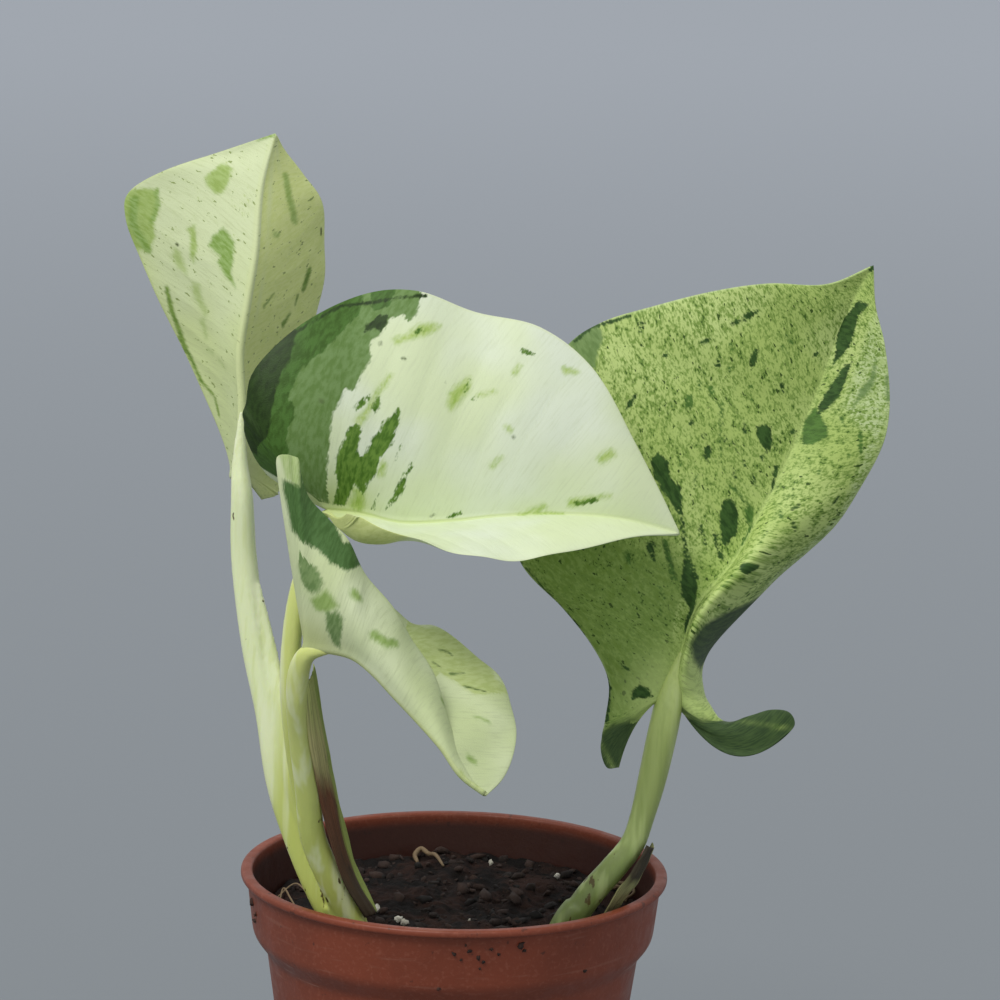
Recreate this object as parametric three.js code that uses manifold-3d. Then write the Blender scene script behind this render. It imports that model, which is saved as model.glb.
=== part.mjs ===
// A potted happy leaf pothos: a small terracotta-coloured nursery pot, its potting soil, a left shoot
// with three leaves and a right shoot with one, each leaf a folded heart-shaped blade on its petiole.
// Millimetres, +Z up, the origin at the centre of the pot's underside, the plant seen from -Y.
import * as THREE from 'three';
import { mergeVertices } from 'three/addons/utils/BufferGeometryUtils.js';
import Module from 'manifold-3d';

const wasm = await Module();
wasm.setup();

// Driving dimensions of the pot
const RIM_RADIUS = 35;
const POT_HEIGHT = 64;
const BASE_RADIUS = 23.5;
const WALL = 1.2;
const LIP_WIDTH = 1.9;
const LIP_HEIGHT = 1.3;
const LIP_OVERHANG = 1;
const COLLAR_HEIGHT = 10.5;
const COLLAR_TAPER = 1.1;
const SHOULDER_DROP = 3;
const SHOULDER_STEP = 2.3;
const FLOOR = 1.6;
const LIP_BEVEL = 0.4;
const BASE_BEVEL = 1;
const DRAIN_RADIUS = 2.5;
const DRAIN_CIRCLE = 13;
const DRAIN_COUNT = 5;
const POT_SIDES = 48;

// Radii and heights that follow from them
const collarTop = RIM_RADIUS - LIP_OVERHANG;
const collarFoot = collarTop - COLLAR_TAPER;
const bodyTop = collarFoot - SHOULDER_STEP;
const collarBottom = POT_HEIGHT - COLLAR_HEIGHT;
const shoulder = collarBottom - SHOULDER_DROP;
const lipFoot = POT_HEIGHT - LIP_HEIGHT;

// Driving dimensions of the plant and its soil
const GAP = 0.3;
const SOIL_CLEARANCE = 0.5;
const STALK_CLEARANCE = 0.4;
const SOIL_TOP = 57;
const SOIL_SLOPE = 0.04;
const SOIL_CROWN = 1;
const SOIL_RIPPLE = 0.3;
const SOIL_RINGS = 7;
const SOIL_SIDES = 36;
const BLADE_THICKNESS = 0.7;
const SHEATH_THICKNESS = 0.7;
const BLADE_ROWS = 17;
const BLADE_COLUMNS = 6;
const NORMAL_PASSES = 3;
const RIB_SIDES = 6;
const STALK_SIDES = 8;
const ROOT_SIDES = 5;

// Colours of the finishes, as roughly seen on the plant
const FINISHES = {
  pot: new THREE.MeshStandardMaterial({ color: 0x8a4a38, roughness: 0.6, metalness: 0 }),
  soil: new THREE.MeshStandardMaterial({ color: 0x2a1f1a, roughness: 0.95, metalness: 0 }),
  petiole: new THREE.MeshStandardMaterial({ color: 0xb4c070, roughness: 0.45, metalness: 0 }),
  blade: new THREE.MeshStandardMaterial({ color: 0xb6c98a, roughness: 0.45, metalness: 0 }),
  sheath: new THREE.MeshStandardMaterial({ color: 0xa89a6a, roughness: 0.8, metalness: 0 }),
};

const point = ([x, y, z]) => new THREE.Vector3(x, y, z);
const curve = (points) => new THREE.CatmullRomCurve3(points.map(point), false, 'catmullrom', 0.5);

// A blade is a midrib and two halves. Each half is a list of stations from the notch at the petiole,
// round the lobe and out to the tip. A station is [foot, margin, push]: foot is where its row starts on
// the midrib, 0 at the petiole and 1 at the tip, margin is the point of the edge that the row ends at,
// and push is how far the middle of the row stands off the straight line between the two. The rows that
// start at the petiole spread like a fan, and fan says how many of them each half has. The midrib is a
// slim rod, ribs its radius at the petiole and at the tip.
const BLADES = {
  // Upper left: stands up with its underside to the front, both halves bent back from the midrib
  leaf_upper_left: {
    fan: [2, 3],
    ribs: [1.1, 0.5],
    midrib: [[-35.5, -7, 131], [-35.5, -4, 141], [-36, -2, 149], [-35, 0, 157], [-34, 2.5, 164.5],
      [-33.5, 7, 174.5], [-31.5, 11, 183]],
    left: [
      [0, [-36, 0, 126.5], [0, 0, 0]],
      [0, [-37.5, 2, 128], [0, 0.5, 0]],
      [0.06, [-38, 3, 131], [0, 1, 0]],
      [0.22, [-42.5, 6, 141.5], [0, 1.5, 0]],
      [0.4, [-48, 8, 152], [0, 1.5, 0]],
      [0.58, [-53.5, 9, 163.5], [0, 1.5, 0]],
      [0.68, [-55.5, 10, 169], [0, 1.5, 0]],
      [0.77, [-55, 10.5, 173], [0, 1.5, 0.5]],
      [0.85, [-49.5, 11, 176.5], [0, 1, 0.5]],
      [0.93, [-41, 12, 179.5], [0, 0.5, 0]],
      [1, [-31.5, 11, 183], [0, 0, 0]],
    ],
    right: [
      [0, [-32.5, 2, 124.5], [0, 0, 0]],
      [0, [-30, 8, 124.5], [0, 1, 0]],
      [0.05, [-29, 11, 128], [1, 1, 0]],
      [0.14, [-28.5, 13.5, 133.5], [1, 1.5, 0]],
      [0.28, [-27, 15, 142], [1, 1.5, 0]],
      [0.48, [-24.5, 17, 153], [1, 1, 0]],
      [0.64, [-23.5, 17, 162.5], [1, 1, 0]],
      [0.8, [-24, 16, 171], [1, 0.5, 0]],
      [0.9, [-27, 14.5, 176], [0.5, 0.5, 0]],
      [0.96, [-30, 13, 180], [0, 0, 0]],
      [1, [-31.5, 11, 183], [0, 0, 0]],
    ],
  },
  // Centre: midrib level, the broad half stands up and faces the front, the other lies towards the viewer
  leaf_centre: {
    fan: [5, 1],
    ribs: [0.9, 0.5],
    midrib: [[-21, -19, 127.5], [-16, -19.5, 127], [-9.5, -20, 125.5], [-1.5, -20.5, 126],
      [6, -20.5, 127], [15, -20, 127.5], [25, -19.5, 127], [34.5, -18, 124.5]],
    left: [
      [0, [-30.5, -18, 132.5], [0, 0, -0.5]],
      [0, [-32.5, -18.5, 135.5], [0, -1, 0]],
      [0, [-34, -19, 139.5], [0, -2, 0]],
      [0, [-34, -19.5, 144], [0, -3, 0]],
      [0.04, [-32.5, -19, 149.5], [0, -3.5, 0]],
      [0.12, [-25.5, -16, 156], [0, -4, 0]],
      [0.24, [-16.5, -12, 160.5], [0, -4.5, 0]],
      [0.34, [-8, -11, 161], [0, -4.5, 0]],
      [0.46, [1.5, -10, 158], [0, -4, 0]],
      [0.6, [12, -10.5, 155.5], [0, -3.5, 0]],
      [0.72, [20, -12, 150], [0, -2.5, 0]],
      [0.85, [26.5, -15, 139.5], [0, -1.5, 0]],
      [0.94, [31, -17, 131.5], [0, -0.5, 0]],
      [1, [34.5, -18, 124.5], [0, 0, 0]],
    ],
    right: [
      [0, [-17.5, -27, 128.5], [0, 0, -1]],
      [0, [-15.5, -30, 128.5], [0, 0, -2.5]],
      [0.06, [-13, -33, 128], [0, 0, -3.5]],
      [0.14, [-9.5, -36, 127.5], [0, 0, -3]],
      [0.22, [-6.5, -39, 127], [0, 0, -1]],
      [0.34, [-1.5, -43, 126.5], [0, 0, 0]],
      [0.46, [3.5, -44, 125.5], [0, 0, 0.5]],
      [0.58, [9, -42, 125], [0, 0, 0.5]],
      [0.72, [16, -36.5, 125], [0, 0, 0.5]],
      [0.88, [26.5, -26, 125.5], [0, 0, 0]],
      [1, [34.5, -18, 124.5], [0, 0, 0]],
    ],
  },
  // Lower front: folded along the midrib and hanging over the rim, its outer side to the front
  leaf_lower_front: {
    fan: [6, 4],
    ribs: [0.9, 0.5],
    midrib: [[-23, -36, 108.5], [-19, -38, 109], [-15.5, -39.5, 108.5], [-12.5, -41, 106.5],
      [-9, -42, 103], [-6, -43, 100], [-2, -45, 96], [1, -46, 92], [5, -46, 89]],
    left: [
      [0, [-28, -35, 137], [0, -1, 0]],
      [0, [-28, -35, 138.5], [0, -1.5, 0]],
      [0, [-27, -35, 139], [0, -2, 0]],
      [0, [-25, -35, 138.5], [0, -2.5, 0]],
      [0.02, [-24.5, -35, 136], [0, -3, 0]],
      [0.06, [-23, -35, 132.5], [0, -3, 0]],
      [0.12, [-20, -35, 129.5], [0, -3.5, 0]],
      [0.2, [-17.5, -35, 126.5], [0, -3.5, 0]],
      [0.28, [-15.5, -35, 123], [0, -3.5, 0]],
      [0.36, [-13.5, -35, 120], [0, -3, 0]],
      [0.46, [-10, -35, 115.5], [0, -3, 0]],
      [0.56, [-7, -35, 111], [0, -3, 0]],
      [0.68, [-3.5, -36, 105.5], [0, -2.5, 0]],
      [0.8, [-0.5, -40, 98], [0, -1.5, 0]],
      [0.92, [2, -44, 92.5], [0, -0.5, 0]],
      [1, [5, -46, 89], [0, 0, 0]],
    ],
    right: [
      [0, [-23.5, -27, 114.5], [0, 0.5, 0]],
      [0, [-24, -26, 119], [0, 0.5, 0]],
      [0, [-22, -25, 121], [0, 0.5, 0]],
      [0, [-19, -23, 120], [0, 0.5, 0]],
      [0.08, [-16, -21, 116.5], [0, 1, -0.5]],
      [0.2, [-11.5, -19, 112.5], [0, 1.5, -1]],
      [0.32, [-7.5, -18, 109.5], [0, 1.5, -1]],
      [0.4, [-4, -18, 109], [0, 1.5, -1]],
      [0.48, [-0.5, -19, 107], [0, 1.5, -1]],
      [0.57, [3, -21, 105], [0.5, 1.5, -1]],
      [0.66, [6.5, -24, 102.5], [0.5, 1.5, -0.5]],
      [0.76, [8.5, -28, 99], [1, 1, 0]],
      [0.84, [9.5, -32, 96], [1, 1, 0]],
      [0.9, [9, -37, 93], [0.5, 0.5, 0]],
      [0.96, [7.5, -41.5, 90.5], [0, 0, 0]],
      [1, [5, -46, 89], [0, 0, 0]],
    ],
  },
  // Right: the largest leaf, upper face to the front, its right half rolled over a ridge near the petiole
  leaf_right: {
    fan: [4, 4],
    ribs: [1.1, 0.5],
    midrib: [[34, -14, 98], [36, -13, 104.5], [38.5, -11, 111.5], [44, -7.5, 118],
      [48.5, -4.5, 126.5], [52.5, -2, 135], [56, 0, 143.5], [59.5, 2, 153], [62.5, 2.5, 160.5],
      [65, 2.5, 165]],
    left: [
      [0, [26, -18, 86.5], [-1, 0, 1.5]],
      [0, [24, -18, 86.5], [-1, -0.5, 1.5]],
      [0, [23, -17.5, 89.5], [-0.5, -1, 1]],
      [0, [23.5, -16.5, 93.5], [0, -1, 0.5]],
      [0.03, [24, -15, 99.5], [0, -1.5, 0]],
      [0.07, [21.5, -14, 105], [0, -2, 0]],
      [0.12, [16.5, -11.5, 111], [0, -2.5, 0]],
      [0.2, [9.5, -9, 117.5], [0, -2.5, 0]],
      [0.3, [6.5, -6, 128], [0, -2.5, 0]],
      [0.42, [9, -3, 140.5], [0, -2.5, 0]],
      [0.54, [15.5, -1, 150.5], [0, -2.5, 0]],
      [0.61, [21.5, 0, 155], [0, -2, 0]],
      [0.67, [30, 0, 158], [0, -2, 0]],
      [0.74, [39, 0, 160.5], [0, -1.5, 0]],
      [0.81, [48, 0, 162], [0, -1, 0]],
      [0.89, [57.5, 1, 162], [0, 0, 0]],
      [1, [65, 2.5, 165], [0, 0, 0]],
    ],
    right: [
      [0, [51.5, -20, 92.5], [0, -1, -6]],
      [0, [53.5, -19.5, 94.5], [0, -1, -6.5]],
      [0, [52.5, -19, 96.5], [0, -1, -6]],
      [0, [49.5, -18, 96.5], [-0.5, -1, -5]],
      [0, [46, -17, 95], [-0.5, -1, -3.5]],
      [0, [42.5, -14.5, 93.5], [0, -2, -1]],
      [0.02, [40.5, -12.5, 95.5], [-0.5, -2.5, 0]],
      [0.06, [39.5, -10.5, 97.5], [-1, -4, 0]],
      [0.12, [39.5, -8.5, 101.5], [-1.5, -5.5, 0.5]],
      [0.2, [42.5, -6, 106], [-2, -6.5, 1.5]],
      [0.3, [50, -3.5, 113.5], [-2, -7, 2]],
      [0.4, [56, -2.5, 119], [-1.5, -5, 1]],
      [0.5, [61.5, -2.5, 125.5], [0, -3, 0]],
      [0.62, [66.5, -3, 135], [0, -1, 0]],
      [0.74, [68, -3, 142.5], [0, 0, 0]],
      [0.86, [67, -1.5, 152.5], [0, 0, 0]],
      [0.95, [65.5, 1, 158.5], [0, 0, 0]],
      [1, [65, 2.5, 165], [0, 0, 0]],
    ],
  },
};

// A shoot is its stem, its petioles and its roots, all in one piece. A stalk is the points of its centre
// line with the radius at each. The wings are the thin green strips that sheathed the younger leaves.
const SHOOTS = {
  left_shoot: {
    stem: [[-12, -13, 36, 2.8], [-13, -15, 44, 3.2], [-15, -17.5, 52, 3.3], [-16.8, -18.5, 60, 3.2],
      [-18.5, -19, 64, 2.8]],
    petioles: {
      upper_left: [[-18, -19, 59.5, 2.3], [-21, -18, 64.5, 2.3], [-24.5, -17, 72, 2.2],
        [-28, -15.5, 82, 2.2], [-30, -13.5, 93, 2.2], [-32.5, -11, 103.5, 2.2], [-34.5, -8.5, 116.5, 2.1],
        [-35, -7.8, 126.5, 1.8], [-35.5, -7.3, 130.1, 1.2]],
      centre: [[-17, -17, 59, 1.7], [-21.5, -17, 70, 1.7], [-24.5, -20, 84, 1.7], [-26, -23, 97.5, 1.7],
        [-26, -23, 107, 1.6], [-25, -22, 115, 1.5], [-23, -20.5, 121.5, 1.4],
        [-21.7, -19.5, 126.1, 1.2]],
      lower_front: [[-15.5, -20, 60, 2.2], [-18, -21, 65, 2.2], [-22, -24, 75, 2.1], [-23, -27, 84, 2],
        [-24, -30, 93, 1.9], [-24.5, -33, 100, 1.8], [-24.5, -34.5, 104.5, 1.7],
        [-23.6, -35.8, 107.6, 1.3]],
    },
    roots: [
      [[-12, -13.5, 38, 0.9], [-17, -10, 32, 0.8], [-15, -4, 23, 0.7], [-17, 1, 13, 0.5]],
      [[-12, -13.5, 38, 0.9], [-6, -15, 31, 0.8], [-3, -10, 21, 0.7], [2, -12, 11, 0.5]],
      [[-12, -13.5, 40, 0.9], [-14, -17, 29, 0.8], [-11, -14, 18, 0.7], [-8, -15, 9, 0.5]],
    ],
    wings: [
      {
        bulge: [0, -0.6, 0],
        near: [[-24.5, -17, 72], [-28, -15.5, 82], [-30, -13.5, 93], [-32.5, -11, 103.5],
          [-34, -9, 113.5]],
        far: [[-22, -21, 76], [-25, -19.5, 84], [-26.5, -17, 94], [-28.5, -13, 102.5],
          [-31.8, -9.8, 113.5]],
      },
    ],
  },
  right_shoot: {
    stem: [[12, -12, 36, 2.4], [13, -13, 44, 2.7], [15, -15.5, 52, 2.7], [18, -17, 60, 2.5],
      [20, -17, 63, 2.2]],
    petioles: {
      right: [[18, -17, 58.5, 2.2], [21.5, -17, 64.5, 2.2], [25.5, -17, 69.5, 2.1], [28.5, -16.5, 73.5, 2],
        [30, -16, 78, 2], [31.5, -15.5, 84.5, 2.1], [33, -15.5, 92.5, 1.8], [33.7, -14.9, 95.8, 1.2]],
    },
    roots: [
      [[12, -12.5, 38, 0.9], [16, -7, 32, 0.8], [15, 1, 22, 0.7], [18, 4, 13, 0.5]],
      [[12, -12.5, 38, 0.9], [9, -14, 28, 0.8], [12, -11, 18, 0.7], [10, -12, 9, 0.5]],
      [[12, -12.5, 40, 0.9], [7, -4, 35, 0.8], [3, 5, 27, 0.7], [4, 12, 17, 0.5]],
    ],
    wings: [],
  },
};

// The thin dried leaf bases that still clasp the two shoots: the points of the two long edges, and how
// far the middle of the strip bulges out
const SHEATHS = {
  dry_sheath_left: {
    bulge: [0.8, -0.5, 0],
    near: [[-13.5, -22.4, 62], [-17.2, -24, 69.5], [-20, -27.4, 81.5], [-21.7, -31.4, 92.5],
      [-22.3, -34.8, 102]],
    far: [[-12.2, -18, 62.5], [-15.8, -19.8, 70.5], [-18, -22.5, 79.5], [-19.8, -26, 90],
      [-21.8, -31, 104]],
  },
  dry_sheath_right: {
    bulge: [0.8, -0.2, -0.6],
    near: [[21.8, -19.6, 58.5], [25, -19.6, 64.5], [28.2, -19.4, 69.5], [30.7, -18.6, 74]],
    far: [[23.2, -15, 58], [26.6, -14.8, 63.5], [29.8, -14.8, 68.8], [31.6, -15, 73.5]],
  },
};

// Makes one solid of a closed indexed mesh
function solid(vertices, triangles) {
  return new wasm.Manifold(new wasm.Mesh({
    numProp: 3,
    vertProperties: new Float32Array(vertices.flat()),
    triVerts: new Uint32Array(triangles.flat()),
  }));
}

function solidFromGeometry(geometry) {
  geometry.deleteAttribute('normal');
  geometry.deleteAttribute('uv');
  const merged = mergeVertices(geometry, 1e-4);
  return new wasm.Manifold(new wasm.Mesh({
    numProp: 3,
    vertProperties: merged.attributes.position.array,
    triVerts: new Uint32Array(merged.index.array),
  }));
}

function geometryFromSolid(body) {
  const mesh = body.getMesh();
  const geometry = new THREE.BufferGeometry();
  geometry.setAttribute('position', new THREE.BufferAttribute(mesh.vertProperties.slice(), 3));
  geometry.setIndex(new THREE.BufferAttribute(mesh.triVerts.slice(), 1));
  geometry.computeVertexNormals();
  return geometry;
}

// Joins the rows of a grid into triangles, merges points that coincide and drops what has no area
function gridMesh(rows) {
  const vertices = [];
  const known = new Map();
  const numbers = rows.map((row) => row.map((p) => {
    const key = [p.x, p.y, p.z].map((v) => v.toFixed(4)).join();
    if (!known.has(key)) {
      known.set(key, vertices.length);
      vertices.push(p);
    }
    return known.get(key);
  }));
  const triangles = [];
  const add = (a, b, c) => {
    if (a !== b && b !== c && c !== a) triangles.push([a, b, c]);
  };
  for (let i = 0; i + 1 < rows.length; i++) {
    for (let j = 0; j + 1 < rows[i].length; j++) {
      const corners = [numbers[i][j], numbers[i][j + 1], numbers[i + 1][j + 1], numbers[i + 1][j]];
      const leans = 2 * j < rows[i].length - 1 ? 0 : 1;
      add(corners[leans], corners[leans + 1], corners[(leans + 2) % 4]);
      add(corners[leans], corners[(leans + 2) % 4], corners[(leans + 3) % 4]);
    }
  }
  return { vertices, triangles };
}

// Normals of a sheet's points: the average over their triangles, then evened out with the neighbours'
function sheetNormals({ vertices, triangles }) {
  let normals = vertices.map(() => new THREE.Vector3());
  for (const [a, b, c] of triangles) {
    const ab = vertices[b].clone().sub(vertices[a]);
    const ac = vertices[c].clone().sub(vertices[a]);
    const normal = ab.cross(ac).normalize();
    for (const v of [a, b, c]) normals[v].add(normal);
  }
  for (let pass = 0; pass < NORMAL_PASSES; pass++) {
    const even = normals.map((normal) => normal.normalize().clone());
    for (const [a, b, c] of triangles) {
      for (const [v, w] of [[a, b], [b, c], [c, a]]) {
        even[v].addScaledVector(normals[w], 0.25);
        even[w].addScaledVector(normals[v], 0.25);
      }
    }
    normals = even;
  }
  return normals.map((normal) => normal.normalize());
}

// Gives a sheet its thickness: both faces stand half of it off the sheet along the normals, with the
// same triangles on each, and a wall closes every free edge
function thicken(sheet, thickness) {
  const { vertices, triangles } = sheet;
  const normals = sheetNormals(sheet);
  const edges = new Map();
  for (const [a, b, c] of triangles) {
    for (const [from, to] of [[a, b], [b, c], [c, a]]) {
      if (edges.has(`${to},${from}`)) edges.delete(`${to},${from}`);
      else edges.set(`${from},${to}`, [from, to]);
    }
  }
  const count = vertices.length;
  const face = (side) => vertices.map((p, i) => (
    p.clone().addScaledVector(normals[i], side * thickness / 2).toArray()
  ));
  const faces = [];
  for (const [a, b, c] of triangles) faces.push([a, b, c], [c + count, b + count, a + count]);
  for (const [from, to] of edges.values()) {
    faces.push([from, from + count, to + count], [from, to + count, to]);
  }
  return solid([...face(1), ...face(-1)], faces);
}

// The edge of one half as a function of the row: margin point and push, both smooth through the
// stations. The row's place w goes from -1 to 0 over the fan and from 0 to 1 along the midrib.
function halfEdge(stations) {
  const fanStations = stations.filter(([foot]) => foot === 0).length;
  const places = stations.map(([foot], i) => (foot === 0 ? i / (fanStations - 1) - 1 : foot));
  const margin = curve(stations.map((station) => station[1]));
  const push = curve(stations.map((station) => station[2]));
  return (w) => {
    let i = places.length - 2;
    while (i > 0 && w < places[i]) i--;
    const t = (i + (w - places[i]) / (places[i + 1] - places[i])) / (places.length - 1);
    return { edge: margin.getPoint(t), push: push.getPoint(t) };
  };
}

// One half of a blade: each row runs from the midrib to the margin as a shallow parabola
function halfBlade(midrib, stations, fan) {
  const rib = curve(midrib);
  const edgeAt = halfEdge(stations);
  const rows = [];
  for (let i = -fan; i <= BLADE_ROWS; i++) {
    const w = i < 0 ? i / fan : i / BLADE_ROWS;
    const foot = rib.getPoint(Math.max(0, w));
    const { edge, push } = edgeAt(w);
    const row = [];
    for (let j = 0; j <= BLADE_COLUMNS; j++) {
      const s = j / BLADE_COLUMNS;
      row.push(foot.clone().lerp(edge, s).addScaledVector(push, 4 * s * (1 - s)));
    }
    rows.push(row);
  }
  return thicken(gridMesh(rows), BLADE_THICKNESS);
}

// A blade's two halves and the raised rib that they meet in
function blade({ fan, ribs, midrib, left, right }) {
  const last = midrib.length - 1;
  const line = midrib.map((p, i) => [...p, ribs[0] + (ribs[1] - ribs[0]) * i / last]);
  return join([
    halfBlade(midrib, left, fan[0]), halfBlade(midrib, right, fan[1]), stalk(line, RIB_SIDES),
  ]);
}

// A round stalk along a smooth line, its rings square to the line and its ends flat
function stalk(points, sides, extra = 0) {
  const path = curve(points);
  const radii = curve(points.map(([, , , r]) => [r, 0, 0]));
  const steps = 2 * (points.length - 1);
  const frames = path.computeFrenetFrames(steps, false);
  const vertices = [];
  const triangles = [];
  for (let i = 0; i <= steps; i++) {
    const centre = path.getPoint(i / steps);
    const radius = radii.getPoint(i / steps).x + extra;
    const tangent = path.getTangent(i / steps);
    const across = frames.normals[i].clone().addScaledVector(tangent, -frames.normals[i].dot(tangent));
    across.normalize();
    const beside = tangent.clone().cross(across);
    const end = i === 0 ? -extra : i === steps ? extra : 0;
    for (let j = 0; j < sides; j++) {
      const turn = 2 * Math.PI * j / sides;
      vertices.push(centre.clone().addScaledVector(across, radius * Math.cos(turn))
        .addScaledVector(beside, radius * Math.sin(turn)).addScaledVector(tangent, end).toArray());
    }
  }
  for (let i = 0; i < steps; i++) {
    for (let j = 0; j < sides; j++) {
      const a = i * sides + j;
      const b = i * sides + (j + 1) % sides;
      triangles.push([a, b, b + sides], [a, b + sides, a + sides]);
    }
  }
  for (let j = 1; j + 1 < sides; j++) {
    triangles.push([0, j + 1, j], [steps * sides, steps * sides + j, steps * sides + j + 1]);
  }
  return solid(vertices, triangles);
}

const join = (bodies) => bodies.reduce((whole, body) => whole.add(body));

// The stalks and roots of a shoot in one body, each wider by the extra all round
function stalks({ stem, petioles, roots }, extra = 0) {
  return join([
    ...[stem, ...Object.values(petioles)].map((points) => stalk(points, STALK_SIDES, extra)),
    ...roots.map((points) => stalk(points, ROOT_SIDES, extra)),
  ]);
}

const shoot = (shape) => join([stalks(shape), ...shape.wings.map(strip)]);

// A strip is a thin sheet between two long edges, bulging outwards between them
function strip({ near, far, bulge }) {
  const steps = 3 * (near.length - 1);
  const across = 4;
  const [nearEdge, farEdge, push] = [curve(near), curve(far), point(bulge)];
  const rows = [];
  for (let i = 0; i <= steps; i++) {
    const row = [];
    for (let j = 0; j <= across; j++) {
      const s = j / across;
      row.push(nearEdge.getPoint(i / steps).lerp(farEdge.getPoint(i / steps), s)
        .addScaledVector(push, 4 * s * (1 - s)));
    }
    rows.push(row);
  }
  return thicken(gridMesh(rows), SHEATH_THICKNESS);
}

// The pot's outline, from the centre of the underside round the lip and back to the axis inside
function potBody() {
  const profile = [
    [0, 0],
    [BASE_RADIUS - BASE_BEVEL, 0],
    [BASE_RADIUS, BASE_BEVEL],
    [bodyTop, shoulder],
    [collarFoot, collarBottom],
    [collarTop, lipFoot],
    [RIM_RADIUS - LIP_BEVEL, lipFoot],
    [RIM_RADIUS, lipFoot + LIP_BEVEL],
    [RIM_RADIUS, POT_HEIGHT - LIP_BEVEL],
    [RIM_RADIUS - LIP_BEVEL, POT_HEIGHT],
    [RIM_RADIUS - LIP_WIDTH + LIP_BEVEL, POT_HEIGHT],
    [RIM_RADIUS - LIP_WIDTH, POT_HEIGHT - LIP_BEVEL],
    [collarFoot - WALL, collarBottom],
    [bodyTop - WALL, shoulder],
    [BASE_RADIUS - WALL, FLOOR],
    [0, FLOOR],
  ].map(([r, z]) => new THREE.Vector2(r, z));
  const lathe = new THREE.LatheGeometry(profile, POT_SIDES);
  lathe.rotateX(Math.PI / 2);
  let pot = solidFromGeometry(lathe);
  for (let i = 0; i < DRAIN_COUNT; i++) {
    const turn = 2 * Math.PI * i / DRAIN_COUNT;
    const drain = new THREE.CylinderGeometry(DRAIN_RADIUS, DRAIN_RADIUS, 4 * FLOOR, 16);
    drain.rotateX(Math.PI / 2);
    drain.translate(DRAIN_CIRCLE * Math.cos(turn), DRAIN_CIRCLE * Math.sin(turn), FLOOR / 2);
    pot = pot.subtract(solidFromGeometry(drain));
  }
  return pot;
}

// Height of the loose soil surface: nearly level, a little higher at the back, with a few clods, each
// given by its place, its width and its height
function soilHeight(x, y) {
  const clods = [[4, -11, 5, 1.6], [-6, 6, 7, 1.4], [14, 10, 6, 1.4], [-19, 8, 5, 1.2], [16, -6, 4, 1.2],
    [-2, 21, 6, 1.2]];
  let z = SOIL_TOP + SOIL_SLOPE * y - SOIL_CROWN * (x * x + y * y) / (collarFoot * collarFoot);
  for (const [cx, cy, width, height] of clods) {
    z += height * Math.exp(-((x - cx) ** 2 + (y - cy) ** 2) / width ** 2);
  }
  return z + SOIL_RIPPLE * Math.sin(0.9 * x + 0.4 * y) * Math.cos(0.7 * y - 0.3 * x);
}

// The soil fills the pot's inside, clear of the wall and the floor, with a plain hole for each shoot
function soilBody() {
  const collar = collarFoot - WALL - SOIL_CLEARANCE;
  const walls = [
    [BASE_RADIUS - WALL - SOIL_CLEARANCE, FLOOR + GAP],
    [bodyTop - WALL - SOIL_CLEARANCE, shoulder],
    [collar, collarBottom + GAP],
  ];
  const ring = (radius, height) => Array.from({ length: SOIL_SIDES }, (_, i) => {
    const turn = 2 * Math.PI * i / SOIL_SIDES;
    const [x, y] = [radius * Math.cos(turn), radius * Math.sin(turn)];
    return [x, y, height ?? soilHeight(x, y)];
  });
  const rings = walls.map(([radius, height]) => ring(radius, height));
  for (let i = 0; i < SOIL_RINGS; i++) rings.push(ring(collar * (1 - i / SOIL_RINGS)));
  const vertices = [[0, 0, FLOOR + GAP], [0, 0, soilHeight(0, 0)], ...rings.flat()];
  const at = (r, i) => 2 + r * SOIL_SIDES + i % SOIL_SIDES;
  const triangles = [];
  for (let i = 0; i < SOIL_SIDES; i++) {
    triangles.push([0, at(0, i + 1), at(0, i)], [1, at(rings.length - 1, i), at(rings.length - 1, i + 1)]);
    for (let r = 0; r + 1 < rings.length; r++) {
      triangles.push([at(r, i), at(r, i + 1), at(r + 1, i + 1)], [at(r, i), at(r + 1, i + 1), at(r + 1, i)]);
    }
  }
  return Object.values(SHOOTS).reduce(
    (soil, shape) => soil.subtract(stalks(shape, STALK_CLEARANCE)), solid(vertices, triangles),
  );
}

const plant = new THREE.Group();

function place(name, body, finish) {
  const mesh = new THREE.Mesh(geometryFromSolid(body), FINISHES[finish]);
  mesh.name = name;
  plant.add(mesh);
}

place('pot', potBody(), 'pot');
place('potting_soil', soilBody(), 'soil');
for (const [name, shape] of Object.entries(SHOOTS)) place(name, shoot(shape), 'petiole');
for (const [name, shape] of Object.entries(BLADES)) place(name, blade(shape), 'blade');
for (const [name, shape] of Object.entries(SHEATHS)) place(name, strip(shape), 'sheath');

export default plant;
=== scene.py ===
"""A potted happy leaf pothos: its fine blades, petioles, dry leaf bases, soil and pot, with their finishes.
Points are in millimetres, as in the part's source, and become metres when a mesh is made."""
import math

import bmesh
import bpy
import numpy as np
from mathutils import Matrix


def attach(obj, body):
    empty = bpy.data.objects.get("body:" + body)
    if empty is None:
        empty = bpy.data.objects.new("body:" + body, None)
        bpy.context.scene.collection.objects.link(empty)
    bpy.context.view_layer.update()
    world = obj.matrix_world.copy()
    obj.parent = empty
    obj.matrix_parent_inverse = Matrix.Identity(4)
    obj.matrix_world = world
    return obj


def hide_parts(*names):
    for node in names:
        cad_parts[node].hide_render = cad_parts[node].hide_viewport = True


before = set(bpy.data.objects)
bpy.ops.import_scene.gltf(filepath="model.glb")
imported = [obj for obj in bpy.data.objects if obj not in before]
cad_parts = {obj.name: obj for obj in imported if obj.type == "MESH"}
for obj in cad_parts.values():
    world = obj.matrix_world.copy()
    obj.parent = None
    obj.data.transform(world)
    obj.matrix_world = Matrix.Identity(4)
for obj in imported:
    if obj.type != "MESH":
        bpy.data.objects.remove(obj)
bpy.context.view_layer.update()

MM = 0.001

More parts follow.
